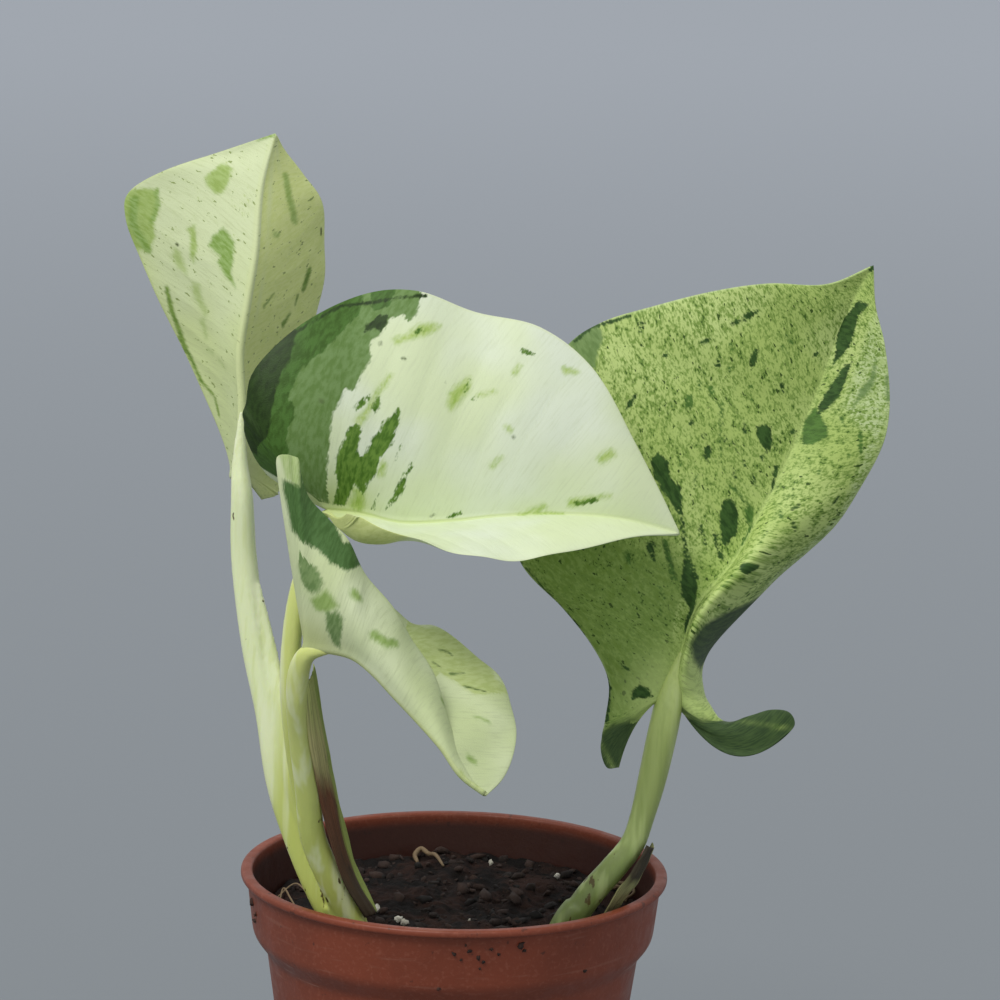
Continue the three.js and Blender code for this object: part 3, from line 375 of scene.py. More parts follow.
# The marks of each layer as (w, u) places: w runs along the midrib, below 0 round the lobe, and u from
# -1 at the left margin to 1 at the right. A list of places is a patch, and a stroke along its places
# comes with its first and last width.
MARKS = {
    "leaf_upper_left": {
        # painted light: the right half is lightened and yellowed as if light shone through it
        "sunny": [
            [(0, 0.03), (1, 0.03), (1, 1.08), (0, 1.08), (-1, 1.08), (-1, 0.03)],
        ],
        "wash": [
            [(0.615, -0.64), (0.605, -0.6), (0.555, -0.58), (0.54, -0.58), (0.557, -0.66), (0.59, -0.69)],
            [(0.522, -0.55), (0.522, -0.48), (0.475, -0.48), (0.448, -0.43), (0.432, -0.48),
             (0.482, -0.57)],
            (1, 0.5, [(0.417, -0.53), (0.37, -0.52)]),
            (0.4, 0.4, [(0.333, -0.54), (0.325, -0.48)]),
            (0.3, 0.3, [(0.305, -0.39), (0.28, -0.3)]),
        ],
        "green": [
            [(0.73, -1.08), (0.772, -1.08), (0.785, -0.91), (0.782, -0.8), (0.725, -0.74), (0.68, -0.78),
             (0.63, -0.79), (0.585, -0.89), (0.585, -1.08), (0.64, -1.08), (0.68, -1.08)],
            [(0.83, -0.52), (0.888, -0.54), (0.87, -0.35), (0.825, -0.29), (0.795, -0.3), (0.792, -0.36),
             (0.81, -0.45)],
            [(0.7, -0.47), (0.638, -0.45), (0.583, -0.5), (0.6, -0.52), (0.662, -0.5), (0.688, -0.52)],
            (1.2, 1.4, [(0.875, 0.38), (0.815, 0.37), (0.75, 0.44)]),
            (0.9, 0.9, [(0.715, 0.19), (0.713, 0.22)]),
        ],
        "mid": [
            (1.4, 1.2, [(0.743, -0.93), (0.662, -0.95), (0.618, -0.92), (0.59, -0.89)]),
            (0.7, 0.5, [(0.777, -0.8), (0.73, -0.75), (0.682, -0.8)]),
            [(0.713, -0.25), (0.682, -0.16), (0.63, -0.16), (0.58, -0.17), (0.537, -0.12), (0.568, -0.22),
             (0.605, -0.29), (0.625, -0.26), (0.65, -0.36), (0.682, -0.33)],
            (0.5, 0.6, [(0.98, -0.96), (0.995, 0)]),
        ],
        "dark": [
            (0.7, 1, [(0.492, -0.84), (0.438, -0.89), (0.383, -0.91), (0.33, -0.96)]),
            (0.9, 0.4, [(0.365, -0.95), (0.312, -0.93), (0.245, -0.91), (0.2, -0.73), (0.16, -0.79)]),
            (1.1, 1.2, [(0.6, 0.7), (0.545, 0.64)]),
            (0.6, 0.3, [(0.522, 0.57), (0.495, 0.56)]),
            (0.3, 0.4, [(0.53, 0.26), (0.487, 0.17)]),
            (0.5, 1, [(0.468, 0.51), (0.435, 0.44)]),
        ],
        "fleck": [
            (0.5, 0.4, [(0.72, 0.9), (0.703, 0.9)]),
            (0.4, 0.4, [(0.628, -0.62), (0.625, -0.61)]),
        ],
    },
    "leaf_centre": {
        "wash": [
            [(0.393, -0.89), (0.38, -0.85), (0.355, -0.82), (0.302, -0.78), (0.295, -0.8), (0.325, -0.82),
             (0.34, -0.85), (0.355, -0.87)],
            (2.2, 0.5, [(0.15, -0.05), (0.17, -0.12), (0.15, -0.14)]),
            (1, 1, [(0.245, -0.23), (0.253, -0.27)]),
            (1.2, 0.5, [(0.205, -0.47), (0.225, -0.5), (0.263, -0.6), (0.288, -0.65)]),
            [(0.41, -0.55), (0.415, -0.61), (0.432, -0.65), (0.445, -0.68), (0.46, -0.7), (0.46, -0.64),
             (0.448, -0.61), (0.432, -0.56), (0.42, -0.53)],
            (0.4, 0.3, [(0.48, -0.62), (0.517, -0.65)]),
            (0.7, 0.3, [(0.555, -0.75), (0.565, -0.79)]),
            (1.2, 0.5, [(0.665, -0.86), (0.693, -0.9)]),
            (1.3, 1.3, [(0.785, -0.51), (0.805, -0.62)]),
            (1.3, 0.3, [(0.743, -0.1), (0.823, -0.25)]),
            (0.8, 0.6, [(0.628, 0), (0.677, -0.06), (0.662, -0.01), (0.725, 0)]),
            (0.7, 0.7, [(0.557, -0.48), (0.562, -0.47)]),
            (0.5, 0.3, [(0.532, -0.28), (0.552, -0.33)]),
        ],
        "green": [
            [(0.37, -1.08), (0.357, -1.08), (0.343, -0.9), (0.325, -0.87), (0.318, -0.9), (0.292, -0.88),
             (0.28, -0.84), (0.253, -0.8), (0.247, -0.77), (0.25, -0.73), (0.233, -0.69), (0.203, -0.61),
             (0.182, -0.63), (0.168, -0.58), (0.145, -0.54), (0.125, -0.45), (0.09, -0.28), (0.035, -0.06),
             (-0.25, -0.29), (-0.658, -0.58), (-0.867, -1.08), (-0.575, -1.08), (-0.233, -1.08),
             (0.01, -1.08), (0.07, -1.08), (0.133, -1.08), (0.21, -1.08), (0.278, -1.08), (0.333, -1.08)],
        ],
        "mid": [
            [(0.365, -1.08), (0.343, -1.08), (0.318, -1.08), (0.292, -0.93), (0.26, -0.92), (0.255, -1.08),
             (0.233, -0.92), (0.198, -0.88), (0.165, -0.84), (0.13, -0.82), (0.105, -0.81), (0.092, -0.78),
             (0.07, -0.73), (0.075, -0.67), (0.068, -0.62), (0.043, -0.59), (0.03, -0.55), (0.025, -0.49),
             (-0.233, -0.6), (-0.433, -0.6), (-0.658, -0.58), (-0.867, -1.08), (-0.575, -1.08),
             (-0.233, -1.08), (0.01, -1.08), (0.07, -1.08), (0.133, -1.08), (0.21, -1.08), (0.278, -1.08),
             (0.333, -1.08)],
        ],
        "dark": [
            [(0.25, -1.08), (0.25, -1.08), (0.208, -1.08), (0.175, -1.08), (0.14, -1.08), (0.125, -1.08),
             (0.103, -0.93), (0.092, -0.88), (0.077, -0.86), (0.058, -0.82), (0.045, -0.77), (0.035, -0.75),
             (0.02, -0.71), (0, -0.71), (-0.558, -0.9), (-0.592, -1.08), (-0.233, -1.08), (0.01, -1.08),
             (0.07, -1.08), (0.133, -1.08), (0.21, -1.08)],
            [(0.29, -0.9), (0.285, -0.86), (0.273, -0.83), (0.26, -0.85), (0.24, -0.84), (0.245, -0.87),
             (0.258, -0.88), (0.27, -0.9)],
            [(0.292, -1.08), (0.315, -1.08), (0.338, -1.08), (0.34, -1.08), (0.318, -1.08), (0.3, -1.08)],
            (0.5, 0.7, [(0.1, -0.985), (0.2, -0.985), (0.36, -0.985)]),
        ],
        "splash": [
            [(0.362, -0.86), (0.352, -0.83), (0.335, -0.82), (0.34, -0.84)],
            [(0.05, -0.05), (0.098, -0.16), (0.107, -0.24), (0.128, -0.34), (0.16, -0.4), (0.177, -0.45),
             (0.198, -0.46), (0.208, -0.43), (0.198, -0.38), (0.185, -0.34), (0.193, -0.31), (0.205, -0.31),
             (0.22, -0.35), (0.233, -0.39), (0.255, -0.42), (0.265, -0.46), (0.285, -0.48), (0.3, -0.52),
             (0.307, -0.49), (0.295, -0.43), (0.283, -0.37), (0.265, -0.33), (0.245, -0.29), (0.228, -0.22),
             (0.198, -0.17), (0.18, -0.11), (0.158, -0.17), (0.128, -0.1), (0.095, -0.04)],
            [(0.195, -0.53), (0.212, -0.56), (0.24, -0.58), (0.238, -0.56), (0.217, -0.53), (0.203, -0.52)],
            [(0.238, -0.51), (0.25, -0.56), (0.26, -0.57), (0.26, -0.52), (0.245, -0.5)],
            [(0.245, -0.06), (0.268, -0.12), (0.288, -0.18), (0.307, -0.23), (0.328, -0.29), (0.33, -0.26),
             (0.312, -0.22), (0.305, -0.16), (0.288, -0.13), (0.265, -0.09)],
            (0.3, 0.1, [(0.203, -0.05), (0.23, -0.13)]),
            (0.2, 0.2, [(0.288, -0.3), (0.305, -0.36)]),
            (0.5, 0.3, [(0.448, -0.63), (0.458, -0.69)]),
            (0.4, 0.2, [(0.468, -0.6), (0.48, -0.61)]),
            (0.9, 0.5, [(0.568, -0.86), (0.59, -0.86)]),
            (0.6, 0.8, [(0.75, -0.1), (0.792, -0.16)]),
            (0.7, 0.5, [(0.425, -0.03), (0.453, -0.05)]),
        ],
        # painted shade where the near half folds steeply down beside the petiole
        "olive": [
            [(0.018, 0.04), (-0.05, 1.08), (0.088, 1.08), (0.165, 1.08), (0.138, 0.85), (0.118, 0.67),
             (0.092, 0.63), (0.075, 0.6), (0.052, 0.55), (0.015, 0.47), (-0.492, 0.25)],
            [(-1, 0.03), (-0.1, 0.03), (0.06, 0.3), (0.16, 0.6), (0.2, 1.08), (-1, 1.08)],
        ],
        "fleck": [
            (0.4, 0.4, [(0.575, -0.44), (0.575, -0.43)]),
            (0.5, 0.5, [(0.27, -0.79), (0.27, -0.78)]),
            (0.4, 0.4, [(0.315, -0.72), (0.32, -0.72)]),
            (0.5, 0.5, [(0.12, -0.62), (0.125, -0.61)]),
            (0.3, 0.3, [(0.405, -0.65), (0.405, -0.65)]),
            (0.3, 0.2, [(0.375, -0.04), (0.383, -0.05)]),
        ],
    },
    "leaf_lower_front": {
        "wash": [
            [(0.043, -0.34), (0.113, -0.49), (0.17, -0.42), (0.11, -0.32), (0.068, -0.3)],
            (1.4, 1.1, [(0.258, -0.66), (0.29, -0.67)]),
            (1.4, 1.4, [(0.383, -0.49), (0.438, -0.55), (0.478, -0.67)]),
            (0.4, 0.4, [(0.723, 0.47), (0.735, 0.51), (0.76, 0.56)]),
            (1.1, 0.9, [(0.83, 0.18), (0.85, 0.22)]),
            (0.9, 0.9, [(0.73, -0.92), (0.685, 0.29), (0.728, 0.2)]),
        ],
        "olive": [
            [(0.292, 1.08), (0.385, 0.93), (0.468, 1.08), (0.578, 1.08), (0.667, 0.93), (0.743, 1.08),
             (0.665, 0.63), (0.52, 0.58), (0.6, -1.08)],
            [(0.858, -0.01), (0.87, -0.39), (0.91, -0.09), (0.968, -0.84), (0.988, 0.38), (0.98, 0),
             (0.917, 0), (0.893, 0)],
        ],
        "green": [
            [(-0.125, -0.46), (0.075, -0.6), (0.1, -0.52), (0.08, -0.43), (0.045, -0.39), (0.003, -0.39)],
            [(0.11, -0.32), (0.16, -0.37), (0.195, -0.34), (0.173, -0.06), (0.138, -0.09), (0.107, -0.2)],
        ],
        "dark": [
            [(-0.442, -0.88), (-0.117, -0.87), (0.06, -1.08), (0.113, -1.08), (0.19, -0.93), (0.258, -1.08),
             (0.335, -1.08), (0.21, -0.75), (0.133, -0.7), (0.08, -0.72), (0.005, -0.61), (-0.283, -0.63),
             (-0.383, -0.75), (-0.5, -0.83)],
        ],
        "fleck": [
            (0.4, 0.3, [(0.468, 0.78), (0.495, 0.83), (0.51, 0.82)]),
            (0.4, 0.3, [(0.48, 0.62), (0.508, 0.63)]),
            (0.6, 0.3, [(0.55, 0.64), (0.56, 0.68), (0.58, 0.74)]),
            (0.4, 0.4, [(0.66, -1), (0.508, 0.6)]),
            (0.6, 0.3, [(0.62, 0.62), (0.638, 0.66), (0.675, 0.74)]),
        ],
        "pale": [
            [(-0.725, -1.08), (-0.317, -1.08), (-0.05, -1.08), (0.007, -1.08), (0.005, -0.87),
             (-0.3, -0.88), (-0.625, -1.08)],
        ],
    },
    "leaf_right": {
        # painted shade: a broad darkening of the lower left of the blade, beside the centre leaf
        "low": [
            [(0.3, -1.08), (0.3, -0.12), (-0.2, -0.1), (-1, -0.3), (-1, -1.08), (0, -1.08)],
        ],
        "wash": [
            [(0.868, 0.56), (0.855, 1.08), (0.81, 1.08), (0.743, 1.08), (0.662, 0.9), (0.662, 0.63),
             (0.68, 0.38), (0.735, 0.39), (0.792, 0.45)],
            # painted highlight: a pale line along the right margin, standing in for light on a rolled edge
            (1.4, 2, [(0.92, 0.98), (0.75, 0.98), (0.5, 0.98), (0.3, 0.97)]),
        ],
        "green": [
            [(0.557, -1.08), (0.583, -1.08), (0.613, -1.08), (0.638, -1.08), (0.62, -1.08), (0.588, -0.92),
             (0.56, -0.89), (0.53, -0.84), (0.542, -0.91)],
            [(0.815, 0.74), (0.78, 0.75), (0.745, 0.68), (0.713, 0.56), (0.688, 0.5), (0.733, 0.53),
             (0.77, 0.66)],
            (0.6, 0.6, [(0.8, 0.97), (0.758, 0.97)]),
        ],
        "mid": [
            [(0.655, 0.07), (0.642, 0.19), (0.628, 0.3), (0.615, 0.33), (0.593, 0.22), (0.578, 0.1),
             (0.6, 0.03), (0.63, 0)],
            [(0.603, -0.46), (0.605, -0.43), (0.575, -0.38), (0.583, -0.41)],
            [(0.44, -0.08), (0.435, -0.04), (0.41, -0.01), (0.405, -0.04)],
            (1.2, 1.2, [(0.565, -0.48), (0.55, -0.46)]),
            (0.7, 0.3, [(0.583, -0.36), (0.487, -0.24)]),
            (0.6, 0.6, [(0.458, -0.16), (0.44, -0.08)]),
            (0.5, 0.7, [(0.365, -0.01), (0.403, -0.01)]),
            (1, 0.9, [(0.325, -0.3), (0.29, -0.24), (0.265, -0.19)]),
            (0.9, 0.9, [(0.283, -0.43), (0.27, -0.41)]),
            (0.6, 0.4, [(0.19, -0.21), (0.185, -0.2)]),
            (0.4, 0.3, [(0.24, -0.24), (0.217, -0.19)]),
            (0.6, 0.8, [(0.65, 0.68), (0.62, 0.76)]),
            (0.4, 0.3, [(0.588, -0.74), (0.58, -0.73)]),
            (0.4, 0.4, [(0.547, -0.54), (0.54, -0.52)]),
            (0.6, 0.4, [(0.46, -0.38), (0.453, -0.37)]),
            (0.8, 0.5, [(0.598, -0.49), (0.588, -0.47)]),
            (0.7, 0.4, [(0.647, -0.45), (0.64, -0.44)]),
            (0.6, 0.4, [(0.68, -0.56), (0.67, -0.52)]),
            (0.5, 0.3, [(0.635, -0.31), (0.613, -0.26)]),
            (0.6, 0.5, [(0.74, -0.37), (0.733, -0.3)]),
            (0.5, 0.4, [(0.718, -0.34), (0.715, -0.28)]),
            (0.7, 0.5, [(0.66, 0.41), (0.655, 0.44)]),
            (0.6, 0.4, [(0.55, 0.4), (0.545, 0.41)]),
            (0.6, 0.5, [(0.45, 0.29), (0.445, 0.33)]),
            (0.6, 0.3, [(0.45, -0.3), (0.432, -0.28)]),
            (0.6, 0.4, [(0.623, 0.74), (0.613, 0.78)]),
            (0.5, 0.3, [(0.6, 0.65), (0.595, 0.67)]),
        ],
        "dark": [
            [(0.88, 0.11), (0.91, 0.49), (0.853, 0.23), (0.818, 0.25), (0.79, 0.24), (0.755, 0.14),
             (0.733, 0.08), (0.758, 0.05), (0.782, -0.01), (0.818, -0.03), (0.848, 0.04)],
            [(0.768, 0.33), (0.728, 0.31), (0.698, 0.29), (0.667, 0.22), (0.642, 0.11), (0.66, 0.09),
             (0.695, 0.13), (0.723, 0.18), (0.748, 0.23)],
            [(0.573, -0.18), (0.583, -0.15), (0.58, -0.12), (0.56, -0.09), (0.537, -0.08), (0.545, -0.12),
             (0.555, -0.16)],
            [(0.685, -0.44), (0.703, -0.45), (0.68, -0.39), (0.657, -0.36), (0.672, -0.42)],
            [(0.495, -0.32), (0.51, -0.32), (0.5, -0.29), (0.475, -0.28), (0.485, -0.31)],
            [(0.44, -0.48), (0.458, -0.47), (0.453, -0.42), (0.427, -0.38), (0.42, -0.33), (0.38, -0.28),
             (0.375, -0.29), (0.393, -0.35), (0.415, -0.43)],
            [(0.427, -0.16), (0.438, -0.14), (0.422, -0.09), (0.383, -0.05), (0.37, -0.07), (0.357, -0.06),
             (0.357, -0.09), (0.403, -0.15)],
            (0.9, 0.3, [(0.52, -0.03), (0.475, 0)]),
            (1.2, 0.6, [(0.733, -0.67), (0.75, -0.68)]),
            (0.5, 0.9, [(0.623, -0.85), (0.64, -0.91)]),
            (0.8, 0.4, [(0.613, -0.69), (0.62, -0.7)]),
            (0.6, 0.9, [(0.657, -0.66), (0.667, -0.66)]),
            (0.9, 0.4, [(0.64, -0.5), (0.652, -0.53)]),
            (0.8, 0.5, [(0.503, -0.66), (0.53, -0.66)]),
            (0.8, 0.2, [(0.372, -0.2), (0.338, -0.13)]),
            (0.4, 0.9, [(0.375, -0.15), (0.33, -0.06)]),
            (0.4, 0.4, [(0.485, -0.18), (0.47, -0.15)]),
            (0.5, 0.5, [(0.49, -0.1), (0.475, -0.07)]),
            (0.4, 0.3, [(0.535, -0.28), (0.517, -0.25)]),
            (0.3, 0.3, [(0.53, -0.24), (0.515, -0.19)]),
            (0.5, 0.4, [(0.505, -0.16), (0.497, -0.14)]),
            (0.3, 0.4, [(0.508, 0.76), (0.525, 0.77)]),
            (0.5, 0.4, [(0.468, 0.36), (0.48, 0.4)]),
            (0.8, 0.6, [(0.445, 0.52), (0.438, 0.59)]),
            (1.8, 0.6, [(0.323, 0.47), (0.335, 0.61)]),
            (0.8, 0.4, [(0.662, -0.19), (0.652, -0.16)]),
            (0.6, 0.3, [(0.733, -0.11), (0.74, -0.1)]),
            (0.9, 0.6, [(0.713, -0.67), (0.72, -0.67)]),
            (0.8, 0.8, [(0.517, -0.35), (0.517, -0.35)]),
            (0.7, 0.7, [(0.527, -0.42), (0.53, -0.41)]),
            (0.9, 0.3, [(0.527, -0.1), (0.52, -0.09)]),
            (0.8, 0.8, [(0.593, -0.03), (0.595, -0.03)]),
            (0.5, 0.6, [(0.568, -0.23), (0.552, -0.21)]),
            (0.6, 0.7, [(0.375, -0.28), (0.323, -0.21), (0.278, -0.1)]),
            [(0.34, -0.23), (0.302, -0.17), (0.273, -0.09), (0.242, -0.05), (0.203, -0.01), (0.15, -0.02),
             (0.173, -0.05), (0.208, -0.05), (0.235, -0.12), (0.265, -0.16), (0.3, -0.19)],
            [(0.312, -0.38), (0.318, -0.34), (0.297, -0.32), (0.283, -0.29), (0.285, -0.32)],
            [(0.025, -0.64), (0.03, -0.55), (0.025, -0.4), (0.005, -0.29), (0.013, -0.62)],
            (0.6, 0.4, [(0.058, -0.72), (0.05, -0.64)]),
            (0.6, 0.5, [(0.56, -0.99), (0.595, -1), (0.623, -0.98), (0.642, -0.98)]),
            (0.9, 0.7, [(0.985, 0), (1, 0)]),
            (0.3, 0.7, [(0.2, -0.99), (0.1, -0.985), (0.03, -0.98), (0, -0.97)]),
        ],
        # painted shade: the strip past the right margin near the base and both lobes are darkened
        "shade": [
            [(0.152, 0.39), (0.2, 0.57), (0.235, 0.77), (0.26, 0.93), (0.305, 1.08), (0.253, 1.08),
             (0.2, 1.08), (0.143, 1.08), (0.107, 0.92), (0.128, 0.68)],
            [(-1, 0.12), (-0.05, 0.12), (-0.02, 0.6), (-0.02, 1.08), (-1, 1.08)],
            [(-1, -1.08), (-1, -0.5), (-0.35, -0.55), (-0.1, -0.85), (-0.1, -1.08)],
        ],
    },
}

# The petioles as centre points with the radius at each, from the soil up into the blade's midrib, and the
# roots in the soil
STALKS = {
    "left_shoot": {
        "stem": [(-12, -13, 36, 2.8), (-13, -15, 44, 3.2), (-15, -17.5, 52, 3.3), (-16.8, -18.5, 60, 3.2),
            (-18.5, -19, 64, 2.8)],
        "upper left": [(-18, -19, 59.5, 2.3), (-21, -18, 64.5, 2.3), (-24.5, -17, 72, 2.2),
            (-28, -15.5, 82, 2.2), (-30, -13.5, 93, 2.2), (-32.5, -11, 103.5, 2.2),
            (-34.5, -8.5, 116.5, 2.1), (-35, -7.8, 126.5, 1.8), (-35.5, -6.3, 132, 1.3),
            (-35.5, -4.2, 140, 0.4)],
        "centre": [(-17, -17, 59, 1.7), (-21.5, -17, 70, 1.7), (-24.5, -20, 84, 1.7),
            (-26, -23, 97.5, 1.7), (-26, -23, 107, 1.6), (-25, -22, 115, 1.5), (-23, -20.5, 121.5, 1.4),
            (-21.4, -19, 126.9, 0.9)],
        "lower front": [(-15.5, -20, 60, 2.2), (-18, -21, 65, 2.2), (-22, -24, 75, 2.1), (-23, -27, 84, 2),
            (-24, -30, 93, 1.9), (-24.5, -33, 100, 1.8), (-24.2, -34.6, 105, 1.7), (-22.8, -36, 108.2, 1.4),
            (-19.5, -37.6, 109.3, 0.7)],
    },
    "right_shoot": {
        "stem": [(12, -12, 36, 2.4), (13, -13, 44, 2.7), (15, -15.5, 52, 2.4), (18, -17, 60, 2.2),
            (20, -17, 63, 2.2)],
        "right": [(18, -17, 58.5, 2.2), (21.5, -17, 64.5, 2.2), (25.5, -17, 69.5, 2.1),
            (28.5, -16.5, 73.5, 2), (30, -16, 78, 2), (31.5, -15.5, 84.5, 2.3), (33, -15.3, 92.5, 2.4),
            (34.2, -14.3, 98.5, 2.1), (36, -13.2, 104.5, 1.1)],
    },
}
ROOTS = {
    "left_shoot": [
        [(-12, -13.5, 38, 0.9), (-17, -10, 32, 0.8), (-15, -4, 23, 0.7), (-17, 1, 13, 0.5)],
        [(-12, -13.5, 38, 0.9), (-6, -15, 31, 0.8), (-3, -10, 21, 0.7), (2, -12, 11, 0.5)],
        [(-12, -13.5, 40, 0.9), (-14, -17, 29, 0.8), (-11, -14, 18, 0.7), (-8, -15, 9, 0.5)],
    ],
    "right_shoot": [
        [(12, -12.5, 38, 0.9), (16, -7, 32, 0.8), (15, 1, 22, 0.7), (18, 4, 13, 0.5)],
        [(12, -12.5, 38, 0.9), (9, -14, 28, 0.8), (12, -11, 18, 0.7), (10, -12, 9, 0.5)],
        [(12, -12.5, 40, 0.9), (7, -4, 35, 0.8), (3, 5, 27, 0.7), (4, 12, 17, 0.5)],
    ],
}

# The green wing along the upper left petiole, and the dried leaf bases: the points of the two long edges
# and how far the middle bulges
WING = {
    "bulge": (0, -0.6, 0),
    "near": [(-24.5, -17, 72), (-28, -15.5, 82), (-30, -13.5, 93), (-32.5, -11, 103.5), (-34, -9, 113.5)],
    "far": [(-22, -21, 76), (-25, -19.5, 84), (-26.5, -17, 94), (-28.5, -13, 102.5), (-31.8, -9.8, 113.5)],
}
SHEATHS = {
    "dry_sheath_left": {
        "bulge": (0.8, -0.5, 0),
        "near": [(-13.9, -22.4, 62), (-17.8, -24, 69.5), (-20.8, -27.4, 81.5), (-22.6, -31.4, 92.5),
            (-23.6, -34.8, 103)],
        "far": [(-12.2, -18, 62.5), (-15.8, -19.8, 70.5), (-18, -22.5, 79.5), (-19.8, -26, 90),
            (-22.4, -31, 105.5)],
    },
    "dry_sheath_right": {
        "bulge": (0.8, -0.2, -0.6),
        "near": [(20.9, -19, 56), (25, -19.3, 64.5), (28.2, -19.4, 69.5), (30.7, -18.6, 74)],
        "far": [(22.2, -15.2, 56), (26.4, -14.9, 63.5), (29.8, -14.8, 68.8), (31.6, -15, 73.5)],
    },
}


def spline(points, t):
    """Points on a Catmull-Rom curve at t from 0 to 1: between two neighbours the curve is the cubic whose
    slope at each is half the chord across it, and past both ends the first and last chord are repeated."""
    p = np.asarray(points, float)
    p = np.vstack([2 * p[0] - p[1], p, 2 * p[-1] - p[-2]])
    x = np.clip(np.asarray(t, float), 0, 1) * (len(p) - 3)
    i = np.minimum(x.astype(int), len(p) - 4)
    f = (x - i)[..., None]
    a, b, c, d = p[i], p[i + 1], p[i + 2], p[i + 3]
    return b + 0.5 * f * (c - a + f * (2 * a - 5 * b + 4 * c - d + f * (3 * (b - c) + d - a)))


def half_blade(midrib, stations, w, s):
    """Points of half a blade: the straight line from the midrib at w to the margin at w, at the share s of
    its length, plus the push times the parabola 4s(1-s). For w from -1 to 0 the foot stays at the petiole
    and the margin runs round the lobe, and for w from 0 to 1 both run to the tip."""
    feet = np.array([foot for foot, _, _ in stations], float)
    lobe = np.count_nonzero(feet == 0)
    places = np.where(feet == 0, np.arange(len(feet)) / (lobe - 1) - 1, feet)
    t = np.interp(w, places, np.linspace(0, 1, len(feet)))
    margin = spline([m for _, m, _ in stations], t)
    push = spline([p for _, _, p in stations], t)
    foot = spline(midrib, np.maximum(w, 0))
    s = np.asarray(s)[..., None]
    return foot + (margin - foot) * s + push * 4 * s * (1 - s)


def blade_point(leaf, w, u):
    """A point of a whole blade: u runs from -1 at the left margin over 0 on the midrib to 1 at the right"""
    w, u = np.broadcast_arrays(np.asarray(w, float), np.asarray(u, float))
    left = half_blade(leaf["midrib"], leaf["left"], w, np.abs(u))
    right = half_blade(leaf["midrib"], leaf["right"], w, np.abs(u))
    return np.where((u < 0)[..., None], left, right)


def grid_faces(rows, columns):
    """Corner numbers of the squares of a grid, each as two triangles, wound the same way"""
    i = np.arange(rows - 1)[:, None] * columns + np.arange(columns - 1)
    a, b, c, d = i.ravel(), i.ravel() + 1, i.ravel() + columns + 1, i.ravel() + columns
    return np.concatenate([np.stack([a, b, c], 1), np.stack([a, c, d], 1)])


def welded(points, faces):
    """Numbers that send each point to the first one at its place, and the faces left with three corners"""
    _, first, where = np.unique(np.round(points / SAME_PLACE).astype(np.int64), axis=0, return_index=True,
                                return_inverse=True)
    same = first[where.ravel()]
    f = same[faces]
    keep = (f[:, 0] != f[:, 1]) & (f[:, 1] != f[:, 2]) & (f[:, 2] != f[:, 0])
    return same, faces[keep]


def point_normals(points, faces, same, passes):
    """Unit normals of a sheet: the sum over each point's faces, then evened out over the faces' corners"""
    f = same[faces]
    flat = np.cross(points[f[:, 1]] - points[f[:, 0]], points[f[:, 2]] - points[f[:, 0]])
    normals = np.zeros_like(points)
    for k in range(3):
        np.add.at(normals, f[:, k], flat)
    normals /= np.linalg.norm(normals, axis=1, keepdims=True) + 1e-12
    for _ in range(passes):
        mean = normals[f].sum(axis=1)
        normals = normals * 0.5
        for k in range(3):
            np.add.at(normals, f[:, k], mean / 6)
        normals /= np.linalg.norm(normals, axis=1, keepdims=True) + 1e-12
    return normals[same]


def new_object(name, points, faces, values=None, maps=None):
    """An object with its mesh in place: points in millimetres, faces of three or four corners, named values
    for each point, and named UV maps for each corner."""
    mesh = bpy.data.meshes.new(name)
    faces = np.asarray(faces)
    mesh.vertices.add(len(points))
    mesh.vertices.foreach_set("co", (np.asarray(points, float) * MM).ravel())
    mesh.loops.add(faces.size)
    mesh.loops.foreach_set("vertex_index", faces.ravel())
    mesh.polygons.add(len(faces))
    mesh.polygons.foreach_set("loop_start", np.arange(len(faces)) * faces.shape[1])
    mesh.polygons.foreach_set("loop_total", np.full(len(faces), faces.shape[1]))
    mesh.update(calc_edges=True)
    mesh.polygons.foreach_set("use_smooth", np.ones(len(faces), bool))
    for key, value in (values or {}).items():
        held = mesh.attributes.new(key, "FLOAT", "POINT").data
        held.foreach_set("value", np.asarray(value, float).ravel())
    for key, value in (maps or {}).items():
        held = mesh.uv_layers.new(name=key).data
        held.foreach_set("uv", np.asarray(value, float).ravel())
    mesh.validate()
    obj = bpy.data.objects.new(name, mesh)
    bpy.context.collection.objects.link(obj)
    return obj


def shell(name, front, faces, same, back, values, uv):
    """A closed leaf-like body of two faces that meet along their free edge: front and back hold a point for
    each number, and where both lie at one place they are one point. Both faces take the values and the UV."""
    count = len(front)
    points = np.vstack([front, back])
    numbers = np.concatenate([same, same + count])
    touching = np.linalg.norm(front[same] - back[same], axis=1) < SAME_PLACE
    numbers[count:][touching] = same[touching]
    corners = np.vstack([faces, faces[:, ::-1] + count])
    used, packed = np.unique(numbers[corners], return_inverse=True)
    both = {key: np.concatenate([value, value])[used] for key, value in values.items()}
    return new_object(name, points[used], packed.reshape(corners.shape), both,
                      {"flow": np.concatenate([uv, uv])[corners.ravel()]})


